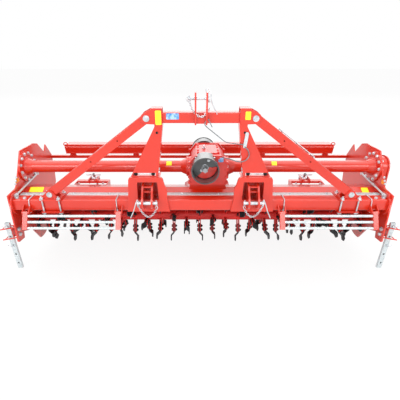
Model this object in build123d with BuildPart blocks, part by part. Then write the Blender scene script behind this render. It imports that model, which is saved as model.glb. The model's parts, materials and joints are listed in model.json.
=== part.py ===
from build123d import *
import os
from math import atan2, cos, degrees, hypot, radians, sin

# Rotavator (tractor-mounted rotary tiller) with a side gear drive.
# X runs across the machine, +Y points to its rear, +Z is up and the floor is Z = 0.
# The tractor couples at the front (-Y). All sizes are millimetres.

SIDES = (("left", -1), ("right", 1))

# ---- driving sizes -------------------------------------------------------------------
INNER_WIDTH = 3200.0       # between the side plates
PLATE_T = 12.0             # side plate
BEAM_SIZE = 100.0          # front beam, square tube
BEAM_WALL = 8.0
BEAM_CORNER = 10.0
BEAM_FRONT_Y = -430.0
BEAM_TOP_Z = 724.0
BEAM_FLANGE_R = 125.0      # rounded plate that joins each end of the beam to its side plate
BEAM_FLANGE_T = 12.0

ROTOR_Y, ROTOR_Z = -75.0, 385.0
ROTOR_REACH = 262.0        # axis to blade tip
ROTOR_TUBE_R = 50.0
ROTOR_END_GAP = 22.0       # from the side plate to the rotor's end disc
ROTOR_DISC_R = 82.0
ROTOR_DISC_T = 14.0
STATION_PITCH = 127.0      # between blade stations along the rotor
STATION_MARGIN = 60.0      # least distance from a side plate to a station
ARMS = 4                   # blades at each station
SPIRAL_STEP = 34.0         # degrees from one station to the next
HOLDER_T = 8.0             # one holder plate
HOLDER_W = 46.0
BLADE_FREE = 90.0          # blade beyond the end of its holder
HOLDER_CHAMFER = 12.0
BLADE_T = 10.0
BLADE_W = 58.0
BLADE_ROOT = 88.0          # axis to the blade's inner end
BLADE_JOG = 28.0           # sideways set of the blade's outer half
BLADE_BEND = (4.0, 34.0)   # start and end of that set, beyond the holder
STUB_R = 32.0              # rotor stub shaft
RUN_FIT = 0.05             # radial clearance of a running shaft
BEARING_BORE_R = 52.0      # hole in the side plate for a bearing
BEARING_FLANGE_R = 95.0
BEARING_HUB_R = 64.0
BEARING_DEPTH = 52.0

HOOD_T = 8.0
# folds of the hood about the rotor axis: degrees from the rear, gap beyond the blade tips
HOOD_FOLDS = ((106.7, 103.0), (91.0, 55.0), (65.4, 38.0), (33.2, 43.0), (15.8, 50.0))
HOOD_LEDGE = 70.0          # flat strip behind the beam
HOOD_LEDGE_DROP = 34.0     # below the top of the beam

SIDE_LOBE_R = 235.0        # round lower part of the side plate, about the rotor axis
SIDE_CORNER_R = 22.0

DRIVE_Y, DRIVE_Z = -70.0, 893.0
DRIVE_TUBE_R = 54.0
DRIVE_TUBE_WALL = 7.0
DRIVE_CONE_R = 80.0        # the tube widens to this at each end
DRIVE_CONE_L = 70.0
DRIVE_FLANGE_R = 90.0      # flange at the gearbox
PLATE_FLANGE_R = 142.0     # flange at the side plate
DRIVE_FLANGE_T = 14.0

PTO_X = 40.0               # power take-off, a little to the right of the middle
GEARBOX_X = 70.0           # middle of the gearbox casting
GEARBOX_W = 300.0
GEARBOX_Y = (-260.0, 130.0)
GEARBOX_DROP, GEARBOX_RISE = 103.0, 153.0   # below and above the drive axis
GEARBOX_SHOULDER = 95.0    # height over the drive axis where the roof starts
GEARBOX_ROOF_W = 210.0
GEARBOX_BOSS_R = 88.0
GEARBOX_BOSS_L = 24.0
GEARBOX_RIM = 13.0         # how far the end flanges stand out
GEARBOX_RIM_T = 22.0
GEARBOX_LUG_R = 17.0
GEARBOX_LUG_OUT = 10.0     # bolt lugs from the casting's side
GEARBOX_LUG_ROWS = (-81.0, -30.0, 38.0, 91.0)   # bolt lugs over the drive axis
GEARBOX_CORNER = 18.0
GEARBOX_ROOT = 10.0        # how deep the side bosses start inside the casting
GEARBOX_RIB_T, GEARBOX_RIB_Y = 12.0, 92.0       # upright ribs on the sides, from the drive axis
GEARBOX_COVER_IN = 70.0    # top cover from the casting's ends
GEARBOX_COVER_T = 14.0
PTO_RISE = 72.0            # PTO axis over the drive axis
PTO_SHAFT_R = 22.2
PTO_JOURNAL_R = 32.0
PTO_CAP_R = 74.0
PTO_CAP_L = 30.0
PTO_CAP_T = 12.0
PTO_HUB_R = 54.0
PTO_ROOT_L = 28.0          # smooth part of the stub
PTO_GROOVE_L = 6.0
PTO_SPLINE_L = 46.0
PTO_SPLINES = 6
PTO_SPLINE_DEPTH, PTO_SPLINE_GAP = 4.0, 11.0
PTO_GUARD_R = 113.0
PTO_GUARD_WALL = 6.0
PTO_GUARD_FRONT = 130.0
PTO_GUARD_REAR = 120.0
PTO_GUARD_BACK = 8.0       # back wall of a guard
PTO_GUARD_GAP = 3.0        # from the gearbox cap to the back wall
PTO_LIP_L, PTO_LIP_T = 12.0, 4.0

SADDLE_TOP_W = 320.0
SADDLE_FOOT_W = 430.0
SADDLE_T = 12.0
SADDLE_STEP = 4.0          # widening of a side from the gearbox down to its waist
SADDLE_CURVE = (18.0, 34.0)    # middle of the flare, out of the waist and below it
SADDLE_HEM = 58.0          # where the flare ends, below the waist
SADDLE_DEPTH = 200.0       # the pressing's sides run this far below the waist, inside the hood

HITCH_SPREAD = 870.0       # between the middles of the two lower clevises
HITCH_Y = -510.0
HITCH_RISE = 11.0          # pin over the top of the beam
HITCH_PIN_R = 14.3
HITCH_PIN_L = 166.0
CLEVIS_GAP = 63.0
CLEVIS_T = 15.0
HITCH_PLATE_T = 20.0
HITCH_BOX_H = 214.0        # bracket over the top of the beam
HITCH_WALL = 10.0
HITCH_WINDOW_W = 176.0
HITCH_WINDOW_TOP = 44.0    # bracket top to window
HITCH_CORNER_R = 26.0
CLEVIS_TOP = 34.0          # top of the clevis below the window's top

MAST_HALF = 290.0          # half of the cross tube between the uprights
MAST_TUBE = 80.0
MAST_TUBE_TOP_Z = 1446.0
MAST_DEPTH = 80.0
MAST_WALL = 8.0
MAST_NECK = 55.0           # width of an upright at its top
MAST_FOOT = (-90.0, 130.0)  # width of an upright at its foot, from the clevis middle
HEAD_PIN_OUT, HEAD_PIN_DOWN = 118.0, 42.0   # head pin from the cross tube's end and top
HEAD_RISE = 31.0           # head plates over the cross tube
HEAD_CREST_W = 80.0        # flat top of a head, from the cross tube's end
HEAD_CORNER_R = 14.0
HEAD_CAP_T = 6.0
HEAD_LUG_R = 42.0
MAST_HOLE_R, MAST_HOLE_DOWN = 9.0, 70.0     # hole in each upright, below the cross tube
MAST_SLOT_Z = (6.0, 32.0)  # slot in the front of each upright, over the hitch bracket
MAST_SLOT_EDGE = 16.0
TIE_PIN_R = 15.6
TIE_FIT = 0.4
TIE_HEAD_T = 8.0           # collar on a strut pin
TIE_END = 16.0             # strut pin behind its last ear
TOP_PIN_Y = -465.0
TOP_PIN_RISE = 107.0       # top link pin over the cross tube
TOP_PIN_R = 12.7
YOKE_GAP = 70.0
YOKE_T = 12.0

STRUT_INSET = 338.0        # strut foot from the side plate
STRUT_FOOT_RISE = 50.0     # strut foot pin over the top of the beam
STRUT_W = 72.0
STRUT_D = 56.0
STRUT_WALL = 6.0
CLAMP_HALF = 90.0
CLAMP_T = 14.0
CLAMP_OVERHANG = 24.0      # clamp plate beyond the beam, front and rear
CLAMP_BOLT_R = 9.0
CLAMP_BOLT_X = 71.0
CLAMP_BOLT_END = 25.0      # thread beyond the clamp plates
CLAMP_NUT_R, CLAMP_NUT_T = 11.0, 14.0
CLAMP_EAR_R, CLAMP_EAR_T = 34.0, 12.0
CLAMP_EAR_HALF = 52.0

LEG_W, LEG_D = 44.0, 26.0
LEG_WALL = 4.0
LEG_LENGTH = 490.0
LEG_Y = -410.0
LEG_GAP = 71.0             # from the side plate to the leg
LEG_PLATES_Z = (335.0, 440.0)
LEG_PLATE_T = 8.0
LEG_PLATE_EDGE = 28.0      # shelf beyond the leg
# front and rear edges of a shelf from the middle of the leg: at its outer end, at the side plate
LEG_SHELF_FRONT = (-52.0, 2.0)
LEG_SHELF_REAR = (30.0, 36.0)
LEG_PAD_Y = (-45.0, 22.0)  # upright pad on the side plate, from the middle of the leg
LEG_WEB_Y = (-19.0, 6.0)   # upright web beside the leg, from its middle
LEG_WEB_RISE = 18.0        # web over the upper shelf
LEG_WEB_T = 6.0
LEG_WEB_GAP = 4.0
LEG_FIT = 0.6
LEG_HOLE_R = 9.0
LEG_HOLES_Z = (60.0, 160.0, 260.0, 352.0, 462.0)

GUARD_OUTER_INSET = 108.0  # guard's outer end from the side plate
GUARD_INNER_OUT = 235.0    # guard's inner end from the clevis middle
GUARD_Y = -478.0
GUARD_TUBE_R = 11.0
GUARD_PIVOT_RISE = 4.0     # pivot over the underside of the beam
GUARD_LEAN = 30.0          # degrees: a parked guard's foot stands forward of its pivot
GUARD_TOP = 10.0           # post over its pivot
GUARD_DROPS = (28.0, 79.0, 130.0)  # tubes down the posts from the pivot
GUARD_POST_W = 40.0
GUARD_POST_D = 28.0
GUARD_POST_WALL = 4.0
GUARD_POST_DROP = 143.0    # post below its pivot
GUARD_BUSH_W = 10.0
GUARD_PIN_R = 8.0
HANGER_T = 8.0
HANGER_GAP = 3.0
HANGER_R = 12.0

BOARD_PIVOT_OUT, BOARD_PIVOT_DOWN = 19.0, 8.0   # hinge from the hood's rear edge
BOARD_T = 6.0
BOARD_SIDE_GAP = 12.0
BOARD_EDGE_OUT = 276.0     # lower edge behind the hinge
BOARD_EDGE_R = 20.0
BOARD_RIB_T = 8.0
HINGE_ROD_R = 10.0
KNUCKLE_R = 17.0
KNUCKLE_W = 80.0
KNUCKLE_INSET = 100.0      # outer knuckles from the side plates
KNUCKLE_BAYS = 4           # spans between the tailboard's knuckles

REAR_BEAM_Y = (395.0, 545.0)
REAR_BEAM_Z = (876.0, 951.0)
REAR_BEAM_INSET = 180.0    # beam end from the side plate
REAR_BEAM_T = 6.0
REAR_CURL_R = 20.0
REAR_RAIL_Y, REAR_RAIL_Z = 440.0, 820.0
REAR_RAIL_SIZE = 30.0
RAIL_POSTS = 5
RAIL_POST_INSET = 60.0     # outer posts from the beam's ends
RAIL_POST_FOOT, RAIL_POST_TOP = 34.0, 20.0      # half widths of a post

ADJUSTER_INSET = 510.0     # tailboard adjuster from the side plate
TRUNNION_Y, TRUNNION_Z = 230.0, 652.0
TRUNNION_R = 22.0
TRUNNION_PIN_R = 10.0
BRIDGE_HALF = 160.0        # adjuster bridge, half length
EYE_OUT, EYE_DOWN = 199.0, 213.0   # adjuster eye from the hinge
ADJUSTER_ROD_R = 12.0
ADJUSTER_TOP = 66.0        # rod above its trunnion
ADJUSTER_BAR_HALF = 72.0   # turning bar at the top of the rod
ADJUSTER_BAR_R = 8.0
BRIDGE_FLANGE = 22.0
BRIDGE_T = 8.0

# ---- values that follow --------------------------------------------------------------
HALF = INNER_WIDTH / 2
BEAM_REAR_Y = BEAM_FRONT_Y + BEAM_SIZE
BEAM_BOTTOM_Z = BEAM_TOP_Z - BEAM_SIZE
BEAM_Y = BEAM_FRONT_Y + BEAM_SIZE / 2
BEAM_Z = BEAM_TOP_Z - BEAM_SIZE / 2
HOLDER_REACH = ROTOR_REACH - BLADE_FREE
PTO_Z = DRIVE_Z + PTO_RISE
HITCH_Z = BEAM_TOP_Z + HITCH_RISE
HITCH_TOP_Z = BEAM_TOP_Z + HITCH_BOX_H
MAST_Y = (BEAM_FRONT_Y, BEAM_FRONT_Y + MAST_DEPTH)
MAST_TUBE_BOTTOM_Z = MAST_TUBE_TOP_Z - MAST_TUBE
HEAD_X = MAST_HALF + HEAD_PIN_OUT
HEAD_Z = MAST_TUBE_TOP_Z - HEAD_PIN_DOWN
TOP_PIN_Z = MAST_TUBE_TOP_Z + TOP_PIN_RISE
FOOT_X = HALF - STRUT_INSET
FOOT_Z = BEAM_TOP_Z + STRUT_FOOT_RISE
GUARD_PIVOT_Z = BEAM_BOTTOM_Z + GUARD_PIVOT_RISE
GUARD_X = (HITCH_SPREAD / 2 + GUARD_INNER_OUT, HALF - GUARD_OUTER_INSET)
REAR_BEAM_HALF = HALF - REAR_BEAM_INSET
ADJUSTER_X = HALF - ADJUSTER_INSET


def plane_x(x):
    """Plane across the machine at x: its own x is the machine's Y, its own y is Z."""
    return Plane(origin=(x, 0, 0), x_dir=(0, 1, 0), z_dir=(1, 0, 0))


def plane_y(y):
    """Upright plane facing the tractor at y: its own x is X, its own y is Z."""
    return Plane(origin=(0, y, 0), x_dir=(1, 0, 0), z_dir=(0, -1, 0))


def block(x, y, z, mode=Mode.ADD):
    """Plate or bar between pairs of faces, given as (low, high) on each axis."""
    with Locations(((x[0] + x[1]) / 2, (y[0] + y[1]) / 2, (z[0] + z[1]) / 2)):
        Box(abs(x[1] - x[0]), abs(y[1] - y[0]), abs(z[1] - z[0]), mode=mode)


def rod(start, end, radius, mode=Mode.ADD):
    """Round bar, or round hole, from one point to another."""
    run = Vector(*end) - Vector(*start)
    with BuildSketch(Plane(origin=start, z_dir=run)) as section:
        Circle(radius)
    extrude(section.sketch, amount=run.length, mode=mode)


def cone(start, end, radius_start, radius_end):
    """Round bar along X whose radius changes evenly."""
    with BuildSketch(Plane(origin=start, x_dir=(0, 1, 0), z_dir=(1, 0, 0))) as base:
        Circle(radius_start)
    with BuildSketch(Plane(origin=end, x_dir=(0, 1, 0), z_dir=(1, 0, 0))) as top:
        Circle(radius_end)
    loft(sections=[base.sketch, top.sketch])


def plate_x(points, x_low, x_high, mode=Mode.ADD, corner=0.0):
    """Plate with a (Y, Z) outline between two X faces, its corners rounded if asked."""
    with BuildSketch(plane_x(x_low)) as outline:
        Polygon(*points, align=None)
        if corner:
            fillet(outline.vertices(), corner)
    extrude(outline.sketch, amount=x_high - x_low, mode=mode)


def plate_y(points, y_front, y_rear, mode=Mode.ADD, corner=0.0):
    """Plate with an (X, Z) outline between a front and a rear face."""
    with BuildSketch(plane_y(y_rear)) as outline:
        Polygon(*points, align=None)
        if corner:
            fillet(outline.vertices(), corner)
    extrude(outline.sketch, amount=y_rear - y_front, mode=mode)


def lug_x(circles, x_low, x_high):
    """Plate whose outline wraps circles, each given as (Y, Z, radius)."""
    with BuildSketch(plane_x(x_low)) as outline:
        for y, z, radius in circles:
            with Locations((y, z)):
                Circle(radius)
        make_hull()
    extrude(outline.sketch, amount=x_high - x_low)


def lug_y(circles, y_front, y_rear):
    """Plate whose outline wraps circles, each given as (X, Z, radius)."""
    with BuildSketch(plane_y(y_rear)) as outline:
        for x, z, radius in circles:
            with Locations((x, z)):
                Circle(radius)
        make_hull()
    extrude(outline.sketch, amount=y_rear - y_front)


def about_rotor(angle, radius):
    """Point (Y, Z) at a radius from the rotor axis, angle in degrees from the rear."""
    return (ROTOR_Y + radius * cos(radians(angle)), ROTOR_Z + radius * sin(radians(angle)))


def on_guard(ahead, down):
    """Point (Y, Z) of a front guard: ahead of its posts' middle, and down them from its pivot."""
    lean = radians(GUARD_LEAN)
    return (GUARD_Y - ahead * cos(lean) - down * sin(lean),
            GUARD_PIVOT_Z + ahead * sin(lean) - down * cos(lean))


def pair(low, high, sign):
    """A span on the left or right side, lowest X first."""
    return tuple(sorted((sign * low, sign * high)))


def save(builder, name):
    """Label a finished piece and write it."""
    builder.part.label = name
    export_step(builder.part, f"parts/{name}.step")


os.makedirs("parts", exist_ok=True)

# ---- front beam: square tube, a rounded plate at each end ----------------------------
with BuildPart() as front_beam:
    with BuildSketch(plane_x(-HALF)):
        with Locations((BEAM_Y, BEAM_Z)):
            RectangleRounded(BEAM_SIZE, BEAM_SIZE, BEAM_CORNER)
            Rectangle(BEAM_SIZE - 2 * BEAM_WALL, BEAM_SIZE - 2 * BEAM_WALL, mode=Mode.SUBTRACT)
    extrude(amount=INNER_WIDTH)
    for sign in (-1, 1):
        with BuildSketch(plane_x(sign * HALF)) as end_plate:
            with Locations((BEAM_REAR_Y, BEAM_Z)):
                Circle(BEAM_FLANGE_R)
            with Locations((BEAM_REAR_Y, BEAM_TOP_Z + 42)):
                Rectangle(BEAM_SIZE + 40, BEAM_SIZE * 2, align=(Align.MAX, Align.MAX),
                          mode=Mode.INTERSECT)
        extrude(end_plate.sketch, amount=-sign * BEAM_FLANGE_T)
save(front_beam, "front_beam")

# ---- hood: one sheet folded round the rotor, with half of the tailboard's hinge ------
hood_line = [(BEAM_REAR_Y, BEAM_TOP_Z - HOOD_LEDGE_DROP),
             (BEAM_REAR_Y + HOOD_LEDGE, BEAM_TOP_Z - HOOD_LEDGE_DROP)]
hood_line += [about_rotor(angle, ROTOR_REACH + gap) for angle, gap in HOOD_FOLDS]
hood_end = hood_line[-1]
pivot = (hood_end[0] + BOARD_PIVOT_OUT, hood_end[1] - BOARD_PIVOT_DOWN)
bay = 2 * (HALF - KNUCKLE_INSET) / KNUCKLE_BAYS
board_knuckles = [(k - KNUCKLE_BAYS / 2) * bay for k in range(KNUCKLE_BAYS + 1)]
hood_knuckles = [x + bay / 2 for x in board_knuckles[:-1]]
with BuildPart() as rotor_hood:
    with BuildSketch(plane_x(-HALF)):
        with BuildLine():
            Polyline(*hood_line)
            offset(amount=HOOD_T, side=Side.RIGHT, closed=True)
        make_face()
    extrude(amount=INNER_WIDTH)
    for sign in (-1, 1):
        block(pair(FOOT_X - CLAMP_HALF - 2, FOOT_X + CLAMP_HALF + 2, sign),
              (BEAM_REAR_Y - 1, BEAM_REAR_Y + CLAMP_OVERHANG + 4), (BEAM_BOTTOM_Z, BEAM_TOP_Z),
              mode=Mode.SUBTRACT)
    for x in hood_knuckles:
        plate_x([hood_end, (hood_end[0] - 6, hood_end[1]), (pivot[0] - 14, pivot[1] - 6), pivot],
                x - KNUCKLE_W / 2, x + KNUCKLE_W / 2)
        rod((x - KNUCKLE_W / 2, *pivot), (x + KNUCKLE_W / 2, *pivot), KNUCKLE_R)
    rod((-HALF, *pivot), (HALF, *pivot), HINGE_ROD_R, mode=Mode.SUBTRACT)
save(rotor_hood, "rotor_hood")

# ---- side plates: crest round the drive, fin at the rear, round lobe about the rotor ----
crest = [(BEAM_REAR_Y + 22, BEAM_TOP_Z + 57), (DRIVE_Y - 139, DRIVE_Z + 17),
         (DRIVE_Y - 43, DRIVE_Z + 160), (DRIVE_Y + 200, DRIVE_Z + 160),
         (DRIVE_Y + 275, DRIVE_Z + 137), (DRIVE_Y + 380, DRIVE_Z + 12)]
fin = [(REAR_BEAM_Y[0] - 33, REAR_BEAM_Z[1] + 24), (REAR_BEAM_Y[0] + 59, REAR_RAIL_Z + 15)]
tail = [(pivot[0] + 196, pivot[1] + 178), (pivot[0] + 176, pivot[1] + 78),
        (pivot[0] + 46, pivot[1] - 42)]
nose = [(BEAM_REAR_Y + 95, BEAM_BOTTOM_Z - 307), (LEG_Y + 38, BEAM_BOTTOM_Z - 246),
        (LEG_Y + LEG_PAD_Y[1] + 2, LEG_PLATES_Z[0] - 14), (BEAM_FRONT_Y - 46, LEG_PLATES_Z[0] - 4),
        (BEAM_FRONT_Y - 56, LEG_PLATES_Z[0] + 8), (BEAM_FRONT_Y - 43, BEAM_BOTTOM_Z - 163)]
brow = (BEAM_FRONT_Y - 19, BEAM_TOP_Z + 45)
for side, sign in SIDES:
    with BuildPart() as side_plate:
        with BuildSketch(plane_x(HALF if sign > 0 else -HALF - PLATE_T)) as outline:
            with BuildLine():
                lobe_start = about_rotor(-15, SIDE_LOBE_R)
                lobe_mid = about_rotor(-62, SIDE_LOBE_R)
                lobe_end = about_rotor(-105, SIDE_LOBE_R)
                Polyline(brow, *crest, *fin, *tail, lobe_start)
                ThreePointArc(lobe_start, lobe_mid, lobe_end)
                Polyline(lobe_end, *nose, brow)
            make_face()
            fillet(outline.vertices().filter_by(lambda v: v.Z > BEAM_TOP_Z), SIDE_CORNER_R)
            with Locations((ROTOR_Y, ROTOR_Z)):
                Circle(BEARING_BORE_R, mode=Mode.SUBTRACT)
        extrude(outline.sketch, amount=PLATE_T)
    save(side_plate, f"side_plate_{side}")

# ---- rotor bearings: bush in each side plate, flanged hub outside the left one -------
with BuildPart() as bearings:
    for sign in (-1, 1):
        with BuildSketch(plane_x(sign * HALF)) as bush:
            with Locations((ROTOR_Y, ROTOR_Z)):
                Circle(BEARING_BORE_R)
                Circle(STUB_R + RUN_FIT, mode=Mode.SUBTRACT)
        extrude(bush.sketch, amount=sign * PLATE_T)
    with BuildSketch(Plane.XY.offset(ROTOR_Z)) as hub:
        with BuildLine():
            Polyline((-HALF - PLATE_T, ROTOR_Y), (-HALF - PLATE_T, ROTOR_Y + BEARING_FLANGE_R),
                     (-HALF - PLATE_T - 14, ROTOR_Y + BEARING_FLANGE_R),
                     (-HALF - PLATE_T - 14, ROTOR_Y + BEARING_HUB_R + 8),
                     (-HALF - PLATE_T - 22, ROTOR_Y + BEARING_HUB_R),
                     (-HALF - PLATE_T - BEARING_DEPTH + 8, ROTOR_Y + BEARING_HUB_R),
                     (-HALF - PLATE_T - BEARING_DEPTH, ROTOR_Y + BEARING_HUB_R - 10),
                     (-HALF - PLATE_T - BEARING_DEPTH, ROTOR_Y), close=True)
        make_face()
    revolve(hub.sketch, axis=Axis((0, ROTOR_Y, ROTOR_Z), (1, 0, 0)))
save(bearings, "rotor_bearings")

# ---- side gear case outside the right plate ------------------------------------------
# steps of the casing outwards: radius at the drive, radius at the rotor, thickness
case_steps = ((112.0, 138.0, 12.0), (94.0, 120.0, 58.0), (104.0, 130.0, 11.0))
with BuildPart() as gear_case:
    face = HALF + PLATE_T
    for r_drive, r_rotor, depth in case_steps:
        lug_x([(DRIVE_Y, DRIVE_Z, r_drive), (ROTOR_Y, ROTOR_Z, r_rotor)], face, face + depth)
        face += depth
    for y, z, radius in ((DRIVE_Y, DRIVE_Z, 58.0), (ROTOR_Y, ROTOR_Z, 72.0)):
        rod((face, y, z), (face + 16, y, z), radius)
    chamfer(gear_case.faces().sort_by(Axis.X)[-2:].edges(), 5)
save(gear_case, "side_gear_case")

# ---- drive tubes: cones and bolting flanges at both ends -----------------------------
gearbox_side = {sign: GEARBOX_X + sign * (GEARBOX_W / 2 + GEARBOX_BOSS_L) for _, sign in SIDES}
with BuildPart() as drive_tubes:
    for side, sign in SIDES:
        outer, inner = sign * HALF, gearbox_side[sign]
        rod((outer, DRIVE_Y, DRIVE_Z), (inner, DRIVE_Y, DRIVE_Z), DRIVE_TUBE_R)
        for face_x, inward, flange_r in ((outer, -sign, PLATE_FLANGE_R), (inner, sign, DRIVE_FLANGE_R)):
            rod((face_x, DRIVE_Y, DRIVE_Z), (face_x + inward * DRIVE_FLANGE_T, DRIVE_Y, DRIVE_Z),
                flange_r)
            cone((face_x + inward * DRIVE_FLANGE_T, DRIVE_Y, DRIVE_Z),
                 (face_x + inward * DRIVE_CONE_L, DRIVE_Y, DRIVE_Z), DRIVE_CONE_R, DRIVE_TUBE_R)
        rod((outer, DRIVE_Y, DRIVE_Z), (inner, DRIVE_Y, DRIVE_Z),
            DRIVE_TUBE_R - DRIVE_TUBE_WALL, mode=Mode.SUBTRACT)
save(drive_tubes, "drive_tubes")

# ---- gearbox casting -----------------------------------------------------------------
box_z = (DRIVE_Z - GEARBOX_DROP, DRIVE_Z + GEARBOX_RISE)
half_w = GEARBOX_W / 2
case_outline = [(GEARBOX_X - half_w, box_z[0]), (GEARBOX_X + half_w, box_z[0]),
                (GEARBOX_X + half_w, DRIVE_Z + GEARBOX_SHOULDER),
                (GEARBOX_X + GEARBOX_ROOF_W / 2, box_z[1]), (GEARBOX_X - GEARBOX_ROOF_W / 2, box_z[1]),
                (GEARBOX_X - half_w, DRIVE_Z + GEARBOX_SHOULDER)]
rim_rows = [DRIVE_Z + rise for rise in GEARBOX_LUG_ROWS]
with BuildPart() as gearbox:
    plate_y(case_outline, *GEARBOX_Y, corner=GEARBOX_CORNER)
    for y in (GEARBOX_Y[0], GEARBOX_Y[1] - GEARBOX_RIM_T):
        with BuildSketch(plane_y(y + GEARBOX_RIM_T)) as rim:
            Polygon(*case_outline, align=None)
            offset(amount=GEARBOX_RIM)
            for z in rim_rows:
                with Locations((GEARBOX_X - half_w - GEARBOX_LUG_OUT, z),
                               (GEARBOX_X + half_w + GEARBOX_LUG_OUT, z)):
                    Circle(GEARBOX_LUG_R)
            with Locations((GEARBOX_X, box_z[0])):
                Rectangle(2 * GEARBOX_W, 4 * GEARBOX_LUG_R, align=(Align.CENTER, Align.MAX),
                          mode=Mode.SUBTRACT)
        extrude(rim.sketch, amount=GEARBOX_RIM_T)
    for sign in (-1, 1):
        cone((GEARBOX_X + sign * (half_w - GEARBOX_ROOT), DRIVE_Y, DRIVE_Z),
             (gearbox_side[sign], DRIVE_Y, DRIVE_Z), GEARBOX_DROP - 5, GEARBOX_BOSS_R)
        near = GEARBOX_X + sign * (half_w - 4)
        for y in (DRIVE_Y - GEARBOX_RIB_Y, DRIVE_Y + GEARBOX_RIB_Y):
            block((near, near + sign * (GEARBOX_RIM + 2)), (y - GEARBOX_RIB_T / 2, y + GEARBOX_RIB_T / 2),
                  (box_z[0], DRIVE_Z + 60))
    for face_y, out in ((GEARBOX_Y[0], -1), (GEARBOX_Y[1], 1)):
        rod((PTO_X, face_y, PTO_Z), (PTO_X, face_y + out * PTO_CAP_L, PTO_Z), PTO_HUB_R)
        rod((PTO_X, face_y, PTO_Z), (PTO_X, face_y + out * PTO_CAP_T, PTO_Z), PTO_CAP_R)
    block((GEARBOX_X - GEARBOX_ROOF_W / 2 + 6, GEARBOX_X + GEARBOX_ROOF_W / 2 - 6),
          (GEARBOX_Y[0] + GEARBOX_COVER_IN, GEARBOX_Y[1] - GEARBOX_COVER_IN),
          (box_z[1] - 2, box_z[1] + GEARBOX_COVER_T))
    rod((PTO_X, GEARBOX_Y[0] - PTO_CAP_L, PTO_Z), (PTO_X, GEARBOX_Y[1] + PTO_CAP_L, PTO_Z),
        PTO_JOURNAL_R + RUN_FIT, mode=Mode.SUBTRACT)
save(gearbox, "gearbox")

# ---- saddle: open-bottomed box with flared front, from the hood up to the gearbox ----
slope = (hood_line[2][1] - hood_line[1][1]) / (hood_line[2][0] - hood_line[1][0])
saddle_y = (hood_line[2][0] - 20, hood_line[4][0])
saddle_foot = [(saddle_y[0], hood_line[2][1] - 20 * slope), *hood_line[2:5]]
waist_z = (box_z[0] + hood_line[1][1]) / 2
base_z = waist_z - SADDLE_DEPTH
top, foot = SADDLE_TOP_W / 2, SADDLE_FOOT_W / 2
waist = top + SADDLE_STEP
with BuildPart() as saddle:
    plate_x([(saddle_y[0], box_z[0]), *saddle_foot, (saddle_y[1], box_z[0])],
            GEARBOX_X - SADDLE_FOOT_W / 2, GEARBOX_X + SADDLE_FOOT_W / 2)
    plate_x([(saddle_y[0] + SADDLE_T, box_z[0] - SADDLE_T), (saddle_y[0] + SADDLE_T, base_z),
             (saddle_y[1] - SADDLE_T, base_z), (saddle_y[1] - SADDLE_T, box_z[0] - SADDLE_T)],
            GEARBOX_X - SADDLE_TOP_W / 2 + SADDLE_T, GEARBOX_X + SADDLE_TOP_W / 2 - SADDLE_T,
            mode=Mode.SUBTRACT)
    with BuildSketch(plane_y(saddle_y[1] + 1)) as flare:
        with BuildLine():
            Polyline((GEARBOX_X - top, box_z[0]), (GEARBOX_X + top, box_z[0]),
                     (GEARBOX_X + waist, waist_z))
            ThreePointArc((GEARBOX_X + waist, waist_z),
                          (GEARBOX_X + waist + SADDLE_CURVE[0], waist_z - SADDLE_CURVE[1]),
                          (GEARBOX_X + foot, waist_z - SADDLE_HEM))
            Polyline((GEARBOX_X + foot, waist_z - SADDLE_HEM), (GEARBOX_X + foot, base_z),
                     (GEARBOX_X - foot, base_z), (GEARBOX_X - foot, waist_z - SADDLE_HEM))
            ThreePointArc((GEARBOX_X - foot, waist_z - SADDLE_HEM),
                          (GEARBOX_X - waist - SADDLE_CURVE[0], waist_z - SADDLE_CURVE[1]),
                          (GEARBOX_X - waist, waist_z))
            Line((GEARBOX_X - waist, waist_z), (GEARBOX_X - top, box_z[0]))
        make_face()
    extrude(flare.sketch, amount=saddle_y[1] - saddle_y[0] + 2, mode=Mode.INTERSECT)
save(saddle, "gearbox_saddle")

# ---- power take-off shaft: a splined stub at each end --------------------------------
with BuildPart() as pto_shaft:
    journal = (GEARBOX_Y[0] - PTO_CAP_L, GEARBOX_Y[1] + PTO_CAP_L)
    rod((PTO_X, journal[0], PTO_Z), (PTO_X, journal[1], PTO_Z), PTO_JOURNAL_R)
    for face_y, out in ((journal[0], -1), (journal[1], 1)):
        groove_y = face_y + out * PTO_ROOT_L
        spline_y = groove_y + out * PTO_GROOVE_L
        rod((PTO_X, face_y, PTO_Z), (PTO_X, groove_y, PTO_Z), PTO_SHAFT_R)
        rod((PTO_X, groove_y, PTO_Z), (PTO_X, spline_y, PTO_Z), PTO_SHAFT_R - PTO_SPLINE_DEPTH)
        with BuildSketch(plane_y(spline_y)) as spline:
            with Locations((PTO_X, PTO_Z)):
                Circle(PTO_SHAFT_R)
                with PolarLocations(PTO_SHAFT_R, PTO_SPLINES):
                    Rectangle(2 * PTO_SPLINE_DEPTH, PTO_SPLINE_GAP, mode=Mode.SUBTRACT)
        extrude(spline.sketch, amount=-out * PTO_SPLINE_L)
save(pto_shaft, "pto_shaft")

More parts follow.
